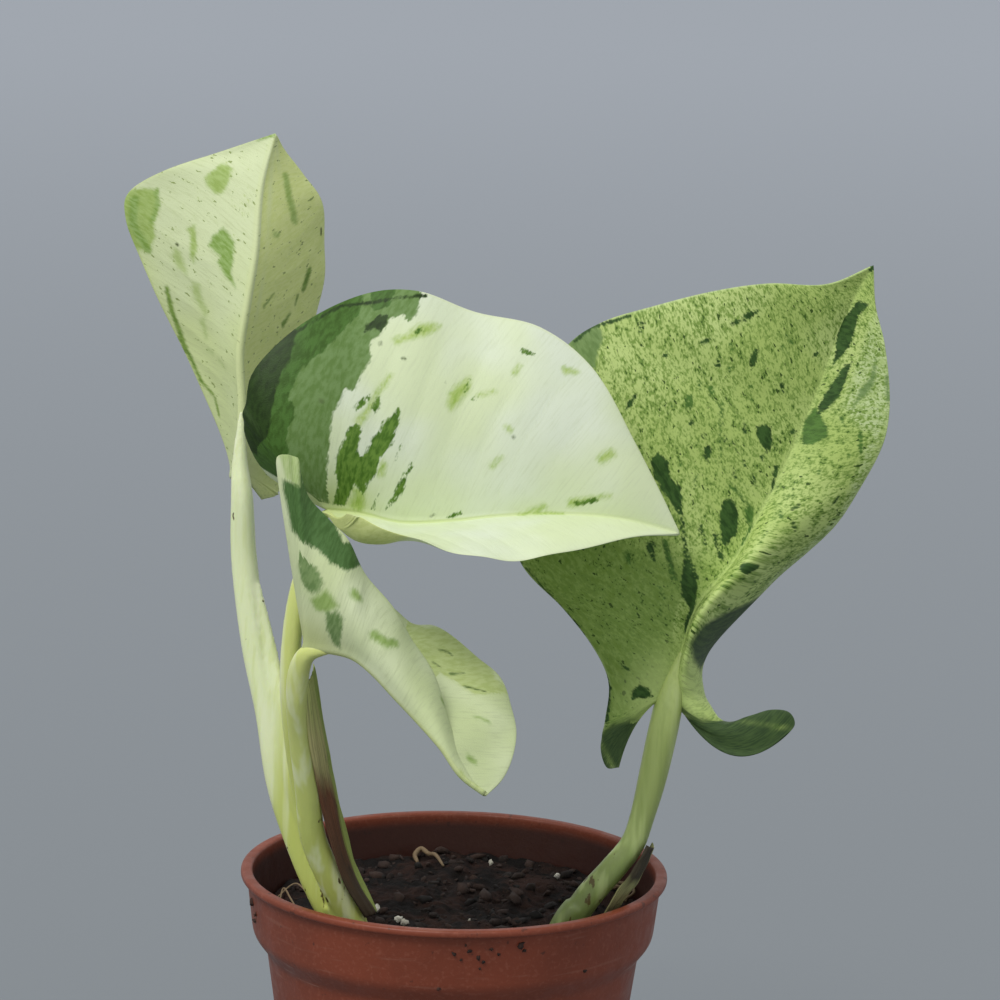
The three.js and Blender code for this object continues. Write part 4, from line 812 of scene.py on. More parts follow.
def mark_field(leaf, base, w, u, marks):
    """How far inside the nearest mark each point of a blade lies, in millimetres, negative outside: half the
    width less the distance to a stroke's line, or the distance to a patch's edge. A point is in a patch if a
    ray from it along w crosses the edge an odd number of times. A mark stays on the half of the blade that
    its first place is on."""
    field = np.full(len(base), -FAR)
    for mark in marks:
        start, end, places = mark if isinstance(mark, tuple) else (0, 0, mark)
        w_line, u_line = np.array(places, float).T
        ring = 0 if start else 1
        line = blade_point(leaf, w_line, u_line)
        runs = len(line) - 1 + ring
        nearest = np.full(len(base), FAR)
        inside = np.zeros(len(base), bool)
        for k in range(runs):
            n = (k + 1) % len(line)
            run = line[n] - line[k]
            t = np.clip((base - line[k]) @ run / (run @ run + 1e-9), 0, 1)
            away = np.linalg.norm(base - line[k] - t[:, None] * run, axis=1)
            width = start + (end - start) * (k + t) / max(runs, 1)
            nearest = np.minimum(nearest, away - width / 2)
            between = (u_line[k] > u) != (u_line[n] > u)
            slope = (w_line[n] - w_line[k]) / (u_line[n] - u_line[k] + 1e-12)
            inside ^= between & (w < w_line[k] + (u - u_line[k]) * slope)
        depth = np.where(inside & (ring == 1), nearest, -nearest)
        same_half = u * np.sign(u_line[0]) > -OVER_MIDRIB
        field = np.where(same_half, np.maximum(field, depth), field)
    return field


def blade(name, leaf):
    """A whole blade as a closed body. The sheet is blade_point on a grid that is finer near the midrib and
    the margins. Its fold is rounded: a point closer than R to the midrib moves (a+b)(R-d)^2/4R inwards, with
    a and b the directions in which the two halves leave the midrib. Along the normal come the bulges between
    the side veins, the groove over the midrib, the ridge under it and half the thickness, which thins out
    like an ellipse towards the margin."""
    w = np.concatenate([np.linspace(-1, 0, FAN_ROWS, endpoint=False), np.linspace(0, 1, RIB_ROWS + 1)])
    half = (1 - np.cos(np.pi * np.linspace(0, 1, HALF_COLUMNS + 1))) / 2
    u = np.concatenate([-half[:0:-1], half])
    w, u = (v.ravel() for v in np.meshgrid(w, u, indexing="ij"))
    s = np.abs(u)
    inner = np.maximum(w, 0)
    base = blade_point(leaf, w, u)
    foot = spline(leaf["midrib"], inner)
    reach = np.linalg.norm(base - foot, axis=1)
    length = np.linalg.norm(np.diff(spline(leaf["midrib"], np.linspace(0, 1, 50)), axis=0), axis=1).sum()

    first = 0.04
    leaves_midrib = [blade_point(leaf, inner, np.full_like(w, side * first)) - foot for side in (-1, 1)]
    outwards = sum(v / (np.linalg.norm(v, axis=1, keepdims=True) + 1e-6) for v in leaves_midrib)
    fold = FOLD_RADIUS * (1 - 0.7 * inner)
    points = base + outwards * (np.maximum(fold - reach, 0) ** 2 / (4 * fold))[:, None]

    rows, columns = FAN_ROWS + RIB_ROWS + 1, 2 * HALF_COLUMNS + 1
    same, faces = welded(base, grid_faces(rows, columns))
    normals = point_normals(points, faces, same, 3)

    phase = VEINS_A_HALF * (np.where(w < 0, FAN_SHARE * w, w) - VEIN_SWEEP * s ** 1.2)
    from_vein = np.abs(phase - np.round(phase)) * 2
    open_blade = np.sin(np.pi * np.clip(s, 0, 1)) ** 0.7 * np.clip(1.1 - inner, 0, 1)
    quilt = QUILT_HEIGHT * (0.5 - (1 - from_vein) ** 2) * open_blade * np.clip(reach / 14, 0, 1)
    quilt = quilt * np.clip(w / 0.3, 0, 1)
    wave = EDGE_WAVE * np.clip(reach / 20, 0, 1) * np.clip(1 + 2.5 * w, 0, 1) * s ** 3 * (1 - inner ** 4)
    wave = wave * np.sin(2 * np.pi * (WAVES * w + 0.25 * np.sign(u)))
    rib = np.exp(-(reach / (RIDGE_WIDTH - 0.8 * inner)) ** 2) * (1 - 0.75 * inner)
    groove = np.exp(-(reach / GROOVE_WIDTH) ** 2) * (1 - 0.6 * inner)
    half_thick = BLADE_THICKNESS / 2 * np.sqrt(1 - s ** 12) * np.sqrt(1 - np.clip(-w, 0, 1) ** 12)
    half_thick = np.where(w >= 1, 0, half_thick)
    upper = leaf["upper"]
    relief = upper * (quilt + wave)
    above = half_thick - GROOVE_DEPTH * groove * (half_thick > 0)
    below = half_thick + RIDGE_HEIGHT * rib * (half_thick > 0)
    front, back = (above, below) if upper > 0 else (below, above)
    front_points = points + normals * (relief + front)[:, None]
    back_points = points + normals * (relief - back)[:, None]

    along = np.where(w < 0, FAN_LENGTH * w, length * w)
    flow = np.stack([along - VEIN_SLOPE * reach, np.sign(u) * reach], 1) / 10
    values = {
        "from_rib": reach, "from_margin": (reach / (s + 1e-6)) * (1 - s), "from_vein": from_vein,
        "from_base": np.linalg.norm(base - np.array(leaf["midrib"][0]), axis=1),
    }
    for key, marks in MARKS[name].items():
        values[key] = mark_field(leaf, base, w, u, marks)
    piece = shell(name + "_blade", front_points, faces, same, back_points, values, flow)
    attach(piece, "root")
    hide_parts(name)
    return piece


def tube(points, sides, steps, groove=0.0, groove_turn=0.0):
    """Rings square to a smooth line through (x, y, z, radius): each ring is radius*(cos, sin), drawn in by
    the groove's depth round groove_turn. The rings keep the turn of a fixed side direction, so they don't
    twist."""
    p = spline(points, np.linspace(0, 1, steps + 1))
    line, radius = p[:, :3], p[:, 3]
    tangent = np.gradient(line, axis=0)
    tangent /= np.linalg.norm(tangent, axis=1, keepdims=True)
    across = np.cross(tangent, (0, 1, 0))
    across /= np.linalg.norm(across, axis=1, keepdims=True)
    beside = np.cross(tangent, across)
    turn = np.linspace(0, 2 * np.pi, sides, endpoint=False)
    dent = 1 - groove * np.exp(-((np.angle(np.exp(1j * (turn - groove_turn)))) / 0.55) ** 2)
    ring = (across[:, None] * (np.cos(turn) * dent)[None, :, None]
            + beside[:, None] * (np.sin(turn) * dent)[None, :, None])
    points = (line[:, None] + ring * radius[:, None, None]).reshape(-1, 3)
    i = np.arange(steps)[:, None] * sides
    j = np.arange(sides)
    a, b = i + j, i + (j + 1) % sides
    faces = np.stack([a, a + sides, b + sides, b], -1).reshape(-1, 4)
    ends = [(line[0], 0, True), (line[-1], steps * sides, False)]
    triangles = [np.stack([faces[:, 0], faces[:, 1], faces[:, 2]], 1),
                 np.stack([faces[:, 0], faces[:, 2], faces[:, 3]], 1)]
    for k, (middle, first, start) in enumerate(ends):
        points = np.vstack([points, middle])
        hub = np.full(sides, len(points) - 1)
        rim = [first + j, first + (j + 1) % sides]
        triangles.append(np.stack([hub, *(rim if start else rim[::-1])], 1))
    return points, np.concatenate(triangles)


def gathered(parts):
    """Several (points, faces) as one"""
    starts = np.cumsum([0] + [len(points) for points, _ in parts[:-1]])
    return (np.vstack([points for points, _ in parts]),
            np.vstack([faces + start for (_, faces), start in zip(parts, starts)]))


def applied(piece):
    """Puts what a piece's modifiers make into its mesh"""
    made = bpy.data.meshes.new_from_object(piece.evaluated_get(bpy.context.evaluated_depsgraph_get()))
    piece.modifiers.clear()
    piece.data = made


def strip(shape, rows, columns):
    """A sheet between two long edges, bulging by the parabola 4s(1-s) between them, as a grid of points"""
    grid = np.meshgrid(np.linspace(0, 1, rows), np.linspace(0, 1, columns), indexing="ij")
    t, s = (v.ravel() for v in grid)
    near, far = spline(shape["near"], t), spline(shape["far"], t)
    return near + (far - near) * s[:, None] + np.array(shape["bulge"]) * (4 * s * (1 - s))[:, None], t, s


def thick_strip(name, shape, rows, columns, thickness, ragged=0.0, curl=0.0):
    """A strip as a closed body: half the thickness goes to each side along the normal, thinning out to the
    edges. Its edges are ragged by a sum of sines along it, and it crumples by another."""
    base, t, s = strip(shape, rows, columns)
    across = spline(shape["far"], t) - spline(shape["near"], t)
    tear = sum(np.sin(k * 2 * np.pi * t + 1.7 * k) / k for k in (3, 7, 13, 23))
    base = base + across * ((s - 0.5) * ragged * tear)[:, None]
    same, faces = welded(base, grid_faces(rows, columns))
    normals = point_normals(base, faces, same, 3)
    crumple = curl * (np.sin(9 * t + 5 * s) + 0.6 * np.sin(23 * t - 9 * s) + 0.5 * np.sin(31 * s + 4 * t))
    thin = thickness / 2 * np.sqrt(1 - np.abs(2 * s - 1) ** 8) * np.sqrt(1 - np.abs(2 * t - 1) ** 30)
    front = base + normals * (crumple + thin)[:, None]
    back = base + normals * (crumple - thin)[:, None]
    return shell(name, front, faces, same, back, {"along": t, "sideways": s}, np.stack([t, s], 1))


def shoot(name):
    """Stem, petioles and roots as tubes, and the wing, remeshed together into one skin and smoothed"""
    parts = [tube(STALKS[name]["stem"], STALK_SIDES, STEM_STEPS)]
    for key, points in STALKS[name].items():
        if key != "stem":
            parts.append(tube(points, STALK_SIDES, PETIOLE_STEPS, PETIOLE_GROOVE, PETIOLE_GROOVE_TURN))
    parts += [tube(root, ROOT_SIDES, ROOT_STEPS) for root in ROOTS[name]]
    points, faces = gathered(parts)
    piece = new_object(name + "_stalks", points, faces)
    if name == "left_shoot":
        wing = thick_strip("wing", WING, WING_ROWS, WING_COLUMNS, WING_THICKNESS)
        bpy.context.view_layer.objects.active = piece
        with bpy.context.temp_override(active_object=piece, selected_editable_objects=[piece, wing]):
            bpy.ops.object.join()
    remesh = piece.modifiers.new("skin", "REMESH")
    remesh.mode = "VOXEL"
    remesh.voxel_size = STALK_VOXEL * MM
    remesh.use_smooth_shade = True
    smooth = piece.modifiers.new("even", "SMOOTH")
    smooth.factor = 0.5
    smooth.iterations = 5
    applied(piece)
    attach(piece, "root")
    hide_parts(name)
    return piece


def lathe(profile, sides):
    """A closed surface of revolution: each (radius, height) of the profile on the ring radius*(cos, sin)"""
    profile = np.array(profile, float)
    turn = np.linspace(0, 2 * np.pi, sides, endpoint=False)
    ring = np.stack([np.cos(turn), np.sin(turn), np.zeros(sides)], 1)
    points = (ring[None] * profile[:, 0, None, None]
              + np.array([0, 0, 1.0]) * profile[:, 1, None, None]).reshape(-1, 3)
    i = np.arange(len(profile) - 1)[:, None] * sides
    j = np.arange(sides)
    a, b = (i + j).ravel(), (i + (j + 1) % sides).ravel()
    faces = np.concatenate([np.stack([a, b, b + sides], 1), np.stack([a, b + sides, a + sides], 1)])
    _, faces = welded(points, faces)
    used, packed = np.unique(faces, return_inverse=True)
    return points[used], packed.reshape(faces.shape)


def rounded(profile, radii, steps=6):
    """A profile with each inner corner replaced by a quadratic curve that starts and ends its radius away"""
    out = [profile[0]]
    for before, corner, after, radius in zip(profile, profile[1:], profile[2:], radii):
        before, corner, after = (np.array(p, float) for p in (before, corner, after))
        start = corner + (before - corner) / np.linalg.norm(before - corner) * radius
        end = corner + (after - corner) / np.linalg.norm(after - corner) * radius
        for t in np.linspace(0, 1, steps):
            out.append((1 - t) ** 2 * start + 2 * t * (1 - t) * corner + t ** 2 * end)
    return out + [profile[-1]]


def pot():
    """The moulded pot: a lathed wall with a lip, a collar, a shoulder and a tapered body, and drain holes cut
    through its floor. Every edge is rounded as a mould leaves it."""
    outline = [
        (0, 0.6), (BASE_RADIUS - 3.2, 0.6), (BASE_RADIUS - 2.4, 0), (BASE_RADIUS, 0), (body_top, shoulder),
        (collar_foot, collar_bottom), (collar_top, lip_foot), (RIM_RADIUS, lip_foot + 0.1),
        (RIM_RADIUS, POT_HEIGHT), (RIM_RADIUS - LIP_WIDTH, POT_HEIGHT),
        (RIM_RADIUS - LIP_WIDTH - 0.1, lip_foot - 0.3), (collar_foot - WALL, collar_bottom),
        (body_top - WALL, shoulder), (BASE_RADIUS - WALL, FLOOR), (0, FLOOR),
    ]
    corner_radii = (0.3, 0.3, 0.8, 0.9, 1.2, 0.35, 0.5, 0.6, 0.6, 0.5, 1, 0.8, 1)
    points, faces = lathe(rounded(outline, corner_radii), POT_SIDES)
    piece = new_object("pot_shell", points, faces)
    for i in range(DRAIN_COUNT):
        turn = 2 * math.pi * i / DRAIN_COUNT
        plug = [(0, -2), (DRAIN_RADIUS, -2), (DRAIN_RADIUS, 2 * FLOOR), (0, 2 * FLOOR)]
        hole, hole_faces = lathe(plug, DRAIN_SIDES)
        hole = hole + np.array([DRAIN_CIRCLE * math.cos(turn), DRAIN_CIRCLE * math.sin(turn), 0])
        cutter = new_object(f"drain_{i}", hole, hole_faces)
        cut = piece.modifiers.new("drain", "BOOLEAN")
        cut.operation = "DIFFERENCE"
        cut.solver = "EXACT"
        cut.object = cutter
        applied(piece)
        bpy.data.objects.remove(cutter)
    piece.data.shade_smooth()
    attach(piece, "root")
    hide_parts("pot")
    return piece


def soil_height(x, y):
    """Height of the soil: nearly level, a little higher at the back, with clods and pits as bell curves"""
    z = SOIL_TOP + 0.04 * y - (x * x + y * y) / collar_foot ** 2
    for cx, cy, width, height in CLODS:
        z = z + height * np.exp(-((x - cx) ** 2 + (y - cy) ** 2) / width ** 2)
    rng = np.random.default_rng(4)
    for scale, height in SOIL_WAVES:
        for _ in range(6):
            angle, shift = rng.uniform(0, 2 * np.pi, 2)
            along = x * np.cos(angle) + y * np.sin(angle)
            z = z + height / 2 * np.sin(scale * rng.uniform(0.7, 1.3) * along + shift)
    return z


def soil():
    """The soil as a closed body: rings of points follow the pot's inside up to the surface, and soil_height
    gives the surface on rings that close in on the axis."""
    collar = collar_foot - WALL - SOIL_CLEARANCE
    walls = [(0, FLOOR + 0.3), (BASE_RADIUS - WALL - SOIL_CLEARANCE, FLOOR + 0.3),
             (body_top - WALL - SOIL_CLEARANCE, shoulder), (collar, collar_bottom + 0.3)]
    surface = [(radius, SOIL_TOP) for radius in np.linspace(collar, 0, SOIL_RINGS)]
    points, faces = lathe(walls + surface, SOIL_SIDES)
    top = points[:, 2] > collar_bottom + 1
    points[top, 2] = soil_height(points[top, 0], points[top, 1])
    piece = new_object("soil_bed", points, faces)
    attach(piece, "root")
    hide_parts("potting_soil")
    return piece


def lumps(name, places, sizes, seed, flat=1.0):
    """Small rough lumps: each is the same little ball of points, stretched and dented by random factors, and
    turned at random, with its own value for the shade"""
    rng = np.random.default_rng(seed)
    ball = bmesh.new()
    bmesh.ops.create_icosphere(ball, subdivisions=1 if len(places) > 60 else 2, radius=1)
    points = np.array([v.co for v in ball.verts])
    faces = np.array([[v.index for v in f.verts] for f in ball.faces])
    ball.free()
    count = len(places)
    dent = 1 + 0.28 * rng.standard_normal((count, len(points), 1))
    stretch = rng.uniform(0.6, 1.3, (count, 1, 3))
    turns, _ = np.linalg.qr(rng.standard_normal((count, 3, 3)))
    turns *= np.sign(np.linalg.det(turns))[:, None, None]
    body = np.einsum("nij,nkj->nki", turns, points[None] * dent * stretch)
    body[..., 2] *= flat
    body = body * np.asarray(sizes)[:, None, None] / 2 + np.asarray(places)[:, None]
    all_faces = faces[None] + (np.arange(count) * len(points))[:, None, None]
    shade = np.repeat(rng.uniform(0, 1, count), len(points))
    piece = new_object(name, body.reshape(-1, 3), all_faces.reshape(-1, 3), {"shade": shade})
    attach(piece, "root")
    return piece


def tone(seen, share=1.0):
    """A colour given as seen on a screen, 0 to 255 each, times a share, as the linear value of a shader"""
    c = np.array(seen) * share / 255
    return (*np.where(c <= 0.04045, c / 12.92, ((c + 0.055) / 1.055) ** 2.4), 1.0)


class Look:
    """A material and a short way to write its nodes: each method adds one node and gives its output"""

    def __init__(self, name, roughness=0.5):
        self.material = bpy.data.materials.new(name)
        self.material.use_nodes = True
        self.tree = self.material.node_tree
        self.shader = self.tree.nodes["Principled BSDF"]
        self.shader.inputs["Roughness"].default_value = roughness

    def put(self, socket, value):
        if isinstance(value, bpy.types.NodeSocket):
            self.tree.links.new(value, socket)
        else:
            socket.default_value = value

    def node(self, kind, output=0, inputs=(), **settings):
        made = self.tree.nodes.new(kind)
        for key, value in settings.items():
            setattr(made, key, value)
        for key, value in dict(inputs).items():
            self.put(made.inputs[key], value)
        return made.outputs[output]

    def place(self):
        return self.node("ShaderNodeTexCoord", "Object")

    def value(self, name):
        return self.node("ShaderNodeAttribute", "Fac", attribute_name=name)

    def flow(self):
        return self.node("ShaderNodeUVMap", "UV", uv_map="flow")

    def scaled(self, vector, scale, shift=(0, 0, 0)):
        return self.node("ShaderNodeMapping", 0, {"Vector": vector, "Scale": scale, "Location": shift})

    def noise(self, vector, scale, detail=3.0, rough=0.55, twist=0.0):
        return self.node("ShaderNodeTexNoise", 0, {"Vector": vector, "Scale": scale, "Detail": detail,
                                                   "Roughness": rough, "Distortion": twist})

    def math(self, operation, a, b=0.0, c=0.0):
        return self.node("ShaderNodeMath", 0, {0: a, 1: b, 2: c}, operation=operation)

    def times(self, a, b):
        return self.math("MULTIPLY", a, b)

    def step(self, value, low, high, bottom=0.0, top=1.0):
        """The value taken smoothly from bottom, where it is low, to top, where it is high"""
        return self.node("ShaderNodeMapRange", 0, {"Value": value, "From Min": low, "From Max": high,
                                                   "To Min": bottom, "To Max": top},
                         interpolation_type="SMOOTHSTEP")

    def mix(self, share, a, b, blend="MIX"):
        made = self.tree.nodes.new("ShaderNodeMix")
        made.data_type = "RGBA"
        made.blend_type = blend
        self.put(made.inputs[0], share)
        self.put(made.inputs[6], a)
        self.put(made.inputs[7], b)
        return made.outputs[2]

    def bump(self, height, distance):
        bump = self.node("ShaderNodeBump", 0, {"Height": height, "Distance": distance})
        self.put(self.shader.inputs["Normal"], bump)

    def colour(self, value):
        self.put(self.shader.inputs["Base Color"], value)

    def shine_through(self, colour, share):
        """Lets a share of the light through, in that colour, as a thin leaf does"""
        through = self.node("ShaderNodeBsdfTranslucent", 0, {"Color": colour})
        both = self.node("ShaderNodeMixShader", 0, {0: share, 1: self.shader.outputs[0], 2: through})
        self.put(self.tree.nodes["Material Output"].inputs["Surface"], both)

    def wear(self, piece):
        piece.data.materials.clear()
        piece.data.materials.append(self.material)


def marked(look, colour, leaf, washes):
    """The marks of a leaf over its ground, layer by layer with ragged edges: the soft washes or the rest"""
    flow = look.flow()
    for key, (light, dark, jag, soft) in leaf["layers"].items():
        if (soft >= 1) == washes:
            edge = look.noise(look.scaled(flow, (26, 9, 1)), 1.0, 5)
            ragged = look.math("MULTIPLY_ADD", edge, jag * 3, -jag * 1.5)
            inside = look.step(look.math("ADD", look.value(key), ragged), -soft, soft)
            mottle = look.step(look.noise(look.scaled(flow, (16, 6, 1)), 1.0, 4), 0.38, 0.64)
            colour = look.mix(inside, colour, look.mix(mottle, tone(light), tone(dark)))
    return colour


def speckled(look, colour, light, dark, amount):
    """Dense specks that run with the side veins: pale green ones, darker cores, and single dark spots"""
    flow = look.flow()
    cloud = look.noise(look.scaled(flow, (5, 2, 1)), 1.0, 3)
    coarse = look.noise(look.scaled(flow, (13, 8, 1), (7, 3, 0)), 1.0, 2)
    small = look.noise(look.scaled(flow, (30, 20, 1)), 1.0, 3)
    seen = look.math("MULTIPLY_ADD", cloud, 0.5, look.math("MULTIPLY_ADD", coarse, 0.8, small))
    colour = look.mix(look.step(seen, amount - 0.12, amount + 0.12), colour, tone(light))
    colour = look.mix(look.step(seen, amount + 0.17, amount + 0.22), colour, tone(dark))
    spot = look.noise(look.scaled(flow, (12, 7, 1), (11, 2, 0)), 1.0, 3)
    return look.mix(look.step(spot, 0.645, 0.67), colour, tone(dark, 0.86))


def leaf_look(name, leaf):
    """Skin of a blade: a pale ground with fine streaks that run with the side veins, the marks on it layer
    by layer, dense specks where the leaf has them, paler veins and a paler margin"""
    look = Look(name + " skin", 0.46)
    flow = look.flow()
    from_base = look.value("from_base")
    broad = look.step(look.noise(look.place(), 45, 2), 0.38, 0.62)
    streak = look.noise(look.scaled(flow, (26, 3, 1)), 1.0, 4)
    colour = look.mix(broad, tone(leaf["pale"]), tone(leaf["deep"]))
    colour = look.mix(look.times(look.step(streak, 0.45, 0.75), leaf["streak"]), colour,
                      tone(leaf["deep"], 0.9))
    colour = marked(look, colour, leaf, True)
    if leaf["specks"]:
        colour = speckled(look, colour, *leaf["specks"])
    vein = look.times(look.step(look.value("from_vein"), 0.1, 0.0), 0.1)
    colour = look.mix(vein, colour, tone(VEIN_TONE))
    rib = look.times(look.step(look.value("from_rib"), 0.9, 0.3), look.step(from_base, 60, 15, 0.2, 0.6))
    colour = look.mix(rib, colour, tone(leaf["rib"]))
    margin = look.times(look.step(look.value("from_margin"), 0.55, 0.2), 0.45)
    colour = look.mix(margin, colour, tone(leaf["margin"]))
    colour = look.mix(look.times(look.step(from_base, 11, 2), 0.75), colour, tone(leaf["rib"]))
    colour = marked(look, colour, leaf, False)
    look.colour(colour)
    look.shader.inputs["Specular IOR Level"].default_value = 0.2
    look.bump(look.noise(look.scaled(flow, (70, 40, 1)), 1.0, 3), 0.06 * MM)
    look.shine_through(look.mix(1.0, colour, (1.0, 1.0, 0.8, 1), "MULTIPLY"), 0.12)
    return look


def stalk_look(name, upper, lower, inner, dark, light):
    """Skin of the stalks: pale above and yellower towards the soil and on the inner ones, with fine streaks
    along them, lighter streaks painted as highlights, brown flecks near the soil, and brown roots below it"""
    look = Look(name + " skin", 0.38)
    place = look.place()
    height = look.node("ShaderNodeSeparateXYZ", 2, {0: place})
    sideways = look.node("ShaderNodeSeparateXYZ", 0, {0: place})
    level = look.math("MULTIPLY_ADD", look.noise(place, 60, 2), 0.02, height)
    top = look.mix(look.step(sideways, -0.0295, -0.0265), tone(upper), tone(inner))
    colour = look.mix(look.step(level, 0.075, 0.115), tone(lower), top)
    streak = look.noise(look.scaled(place, (900, 900, 45)), 1.0, 3)
    colour = look.mix(look.times(look.step(streak, 0.45, 0.7), 0.35), colour, tone(dark))
    # painted highlight: lighter streaks along the stalks, in the light tone
    painted_highlight = look.noise(look.scaled(place, (420, 420, 25), (3, 1, 2)), 1.0, 2)
    colour = look.mix(look.times(look.step(painted_highlight, 0.5, 0.72), 0.5), colour, tone(light))
    fleck = look.noise(look.scaled(place, (620, 620, 260)), 1.0, 3)
    low = look.step(height, 0.088, 0.062, 0, 0.12)
    colour = look.mix(look.step(look.math("ADD", fleck, low), 0.735, 0.765), colour, tone(FLECK_TONE))
    colour = look.mix(look.step(level, 0.069, 0.063, 0, 0.55), colour, tone(STALK_FOOT_TONE))
    colour = look.mix(look.step(height, 0.0575, 0.0545), colour, tone(ROOT_TONE))
    look.colour(colour)
    look.shader.inputs["Subsurface Weight"].default_value = 0.15
    look.shader.inputs["Subsurface Radius"].default_value = (0.8, 1.0, 0.3)
    look.shader.inputs["Subsurface Scale"].default_value = 0.0015
    look.bump(look.noise(look.scaled(place, (1600, 1600, 90)), 1.0, 3), 0.08 * MM)
    return look


def sheath_look(name, bands, edge):
    """Dried leaf base: bands of colour from top to bottom, brown fibres along it, a green far edge and
    dark spots"""
    look = Look(name + " skin", 0.75)
    flow = look.flow()
    from_foot = look.node("ShaderNodeSeparateXYZ", 0, {0: flow})
    fibre = look.noise(look.scaled(flow, (2.5, 22, 1)), 1.0, 4)
    along = look.math("MULTIPLY_ADD", look.noise(look.scaled(flow, (5, 5, 1)), 1.0, 3), 0.25, from_foot)
    colour = tone(bands[0][1])
    for (low, _), (high, shade) in zip(bands, bands[1:]):
        colour = look.mix(look.step(along, 1.1 - low, 1.1 - high), colour, tone(shade))
    colour = look.mix(look.times(look.step(fibre, 0.42, 0.7), 0.45), colour, tone(FIBRE_TONE))
    rim = look.math("MULTIPLY_ADD", fibre, 0.16, look.value("sideways"))
    colour = look.mix(look.step(rim, 0.58, 0.66), colour, tone(edge))
    spots = look.noise(look.scaled(flow, (5, 9, 1), (2, 1, 0)), 1.0, 3)
    colour = look.mix(look.step(spots, 0.63, 0.67, 0, 0.7), colour, tone(SPOT_TONE))
    look.colour(colour)
    look.bump(fibre, 0.35 * MM)
    return look


def pot_look():
    """Moulded plastic: brick red with a faint mottle, scuffs that are strongest on the shoulder, dust near
    the rim, and inside, where the surface faces the pot's axis, painted shade that darkens the inner wall"""
    look = Look("pot plastic", 0.42)
    place = look.place()
    height = look.node("ShaderNodeSeparateXYZ", 2, {0: place})
    cloud = look.step(look.noise(place, 55, 4), 0.35, 0.65)
    colour = look.mix(cloud, tone(POT_TONE), tone(POT_TONE, 0.9))
    speck = look.step(look.noise(place, 1500, 2), 0.5, 0.75)
    colour = look.mix(look.times(speck, 0.25), colour, tone(POT_SPECK_TONE))
    shoulder_band = look.times(look.step(height, 0.0485, 0.0505), look.step(height, 0.054, 0.0515))
    scuff = look.step(look.noise(look.scaled(place, (60, 60, 900)), 1.0, 4), 0.6, 0.7)
    worn = look.times(scuff, look.math("MULTIPLY_ADD", shoulder_band, 0.35, 0.08))
    colour = look.mix(worn, colour, tone(SCUFF_TONE))
    near_rim = look.step(height, 0.052, 0.064, 0, 0.06)
    grime = look.math("ADD", look.noise(look.scaled(place, (500, 500, 500), (5, 0, 2)), 1.0, 4), near_rim)
    colour = look.mix(look.times(look.step(grime, 0.7, 0.75), 0.6), colour, tone(DUST_TONE))
    outwards = look.node("ShaderNodeVectorMath", "Value", {
        0: look.scaled(place, (1, 1, 0)), 1: look.node("ShaderNodeNewGeometry", "Normal")},
        operation="DOT_PRODUCT")
    # painted shade: the inner wall, where it faces the pot's axis below the rim, is darkened
    inner_wall_shade = look.times(look.step(outwards, 0.002, -0.01), look.step(height, 0.0638, 0.0615))
    colour = look.mix(look.times(inner_wall_shade, 0.9), colour, tone(INNER_WALL_SHADE_TONE))
    look.colour(colour)
    look.put(look.shader.inputs["Roughness"], look.step(look.noise(place, 300, 3), 0.3, 0.7, 0.4, 0.56))
    look.shader.inputs["Specular IOR Level"].default_value = 0.35
    look.bump(look.noise(place, 1800, 3), 0.03 * MM)
    return look


def soil_look():
    """Damp potting soil: nearly black, with browner crumbs and fibres and a coarse rough grain"""
    look = Look("potting soil", 0.92)
    place = look.place()
    black, brown, crumb, pit_shade = (tone(shade) for shade in SOIL_TONES)
    grain = look.noise(place, 700, 6, 0.7)
    clump = look.noise(place, 120, 5, 0.65, 0.4)
    colour = look.mix(look.step(clump, 0.4, 0.66), black, brown)
    colour = look.mix(look.step(grain, 0.62, 0.76), colour, crumb)
    # painted shade: the lowest parts of the grain, its pits, are darkened
    colour = look.mix(look.step(grain, 0.42, 0.3), colour, pit_shade)
    look.colour(colour)
    look.shader.inputs["Specular IOR Level"].default_value = 0.2
    look.bump(look.math("MULTIPLY_ADD", clump, 2.5, grain), 0.8 * MM)
    return look


def grain_look(name, dark, light, roughness):
    """Crumbs of one kind, each with its own shade between two tones and a fine grain"""
    look = Look(name, roughness)
    shade = look.math("MULTIPLY_ADD", look.noise(look.place(), 1200, 3), 0.5, look.value("shade"))
    look.colour(look.mix(look.step(shade, 0.1, 1.3), tone(dark), tone(light)))
    look.bump(look.noise(look.place(), 2500, 3), 0.1 * MM)
    return look


def camera():
    """The camera: its right, up and back directions are the columns of its turn"""
    dip, roll = math.radians(CAMERA_DIP), math.radians(CAMERA_ROLL)
    forward = np.array([0, math.cos(dip), -math.sin(dip)])
    level = np.array([1.0, 0, 0])
    above = np.cross(level, forward)
    right = level * math.cos(roll) + above * math.sin(roll)
    up = above * math.cos(roll) - level * math.sin(roll)
    data = bpy.data.cameras.new("camera")
    data.lens = CAMERA_LENS
    data.sensor_width = SENSOR_WIDTH
    data.clip_start = 0.01
    seen = bpy.data.objects.new("camera", data)
    turn = Matrix((right, up, -forward)).transposed().to_4x4()
    seen.matrix_world = Matrix.Translation(np.array(CAMERA_PLACE) * MM) @ turn
    bpy.context.collection.objects.link(seen)
    bpy.context.scene.camera = seen


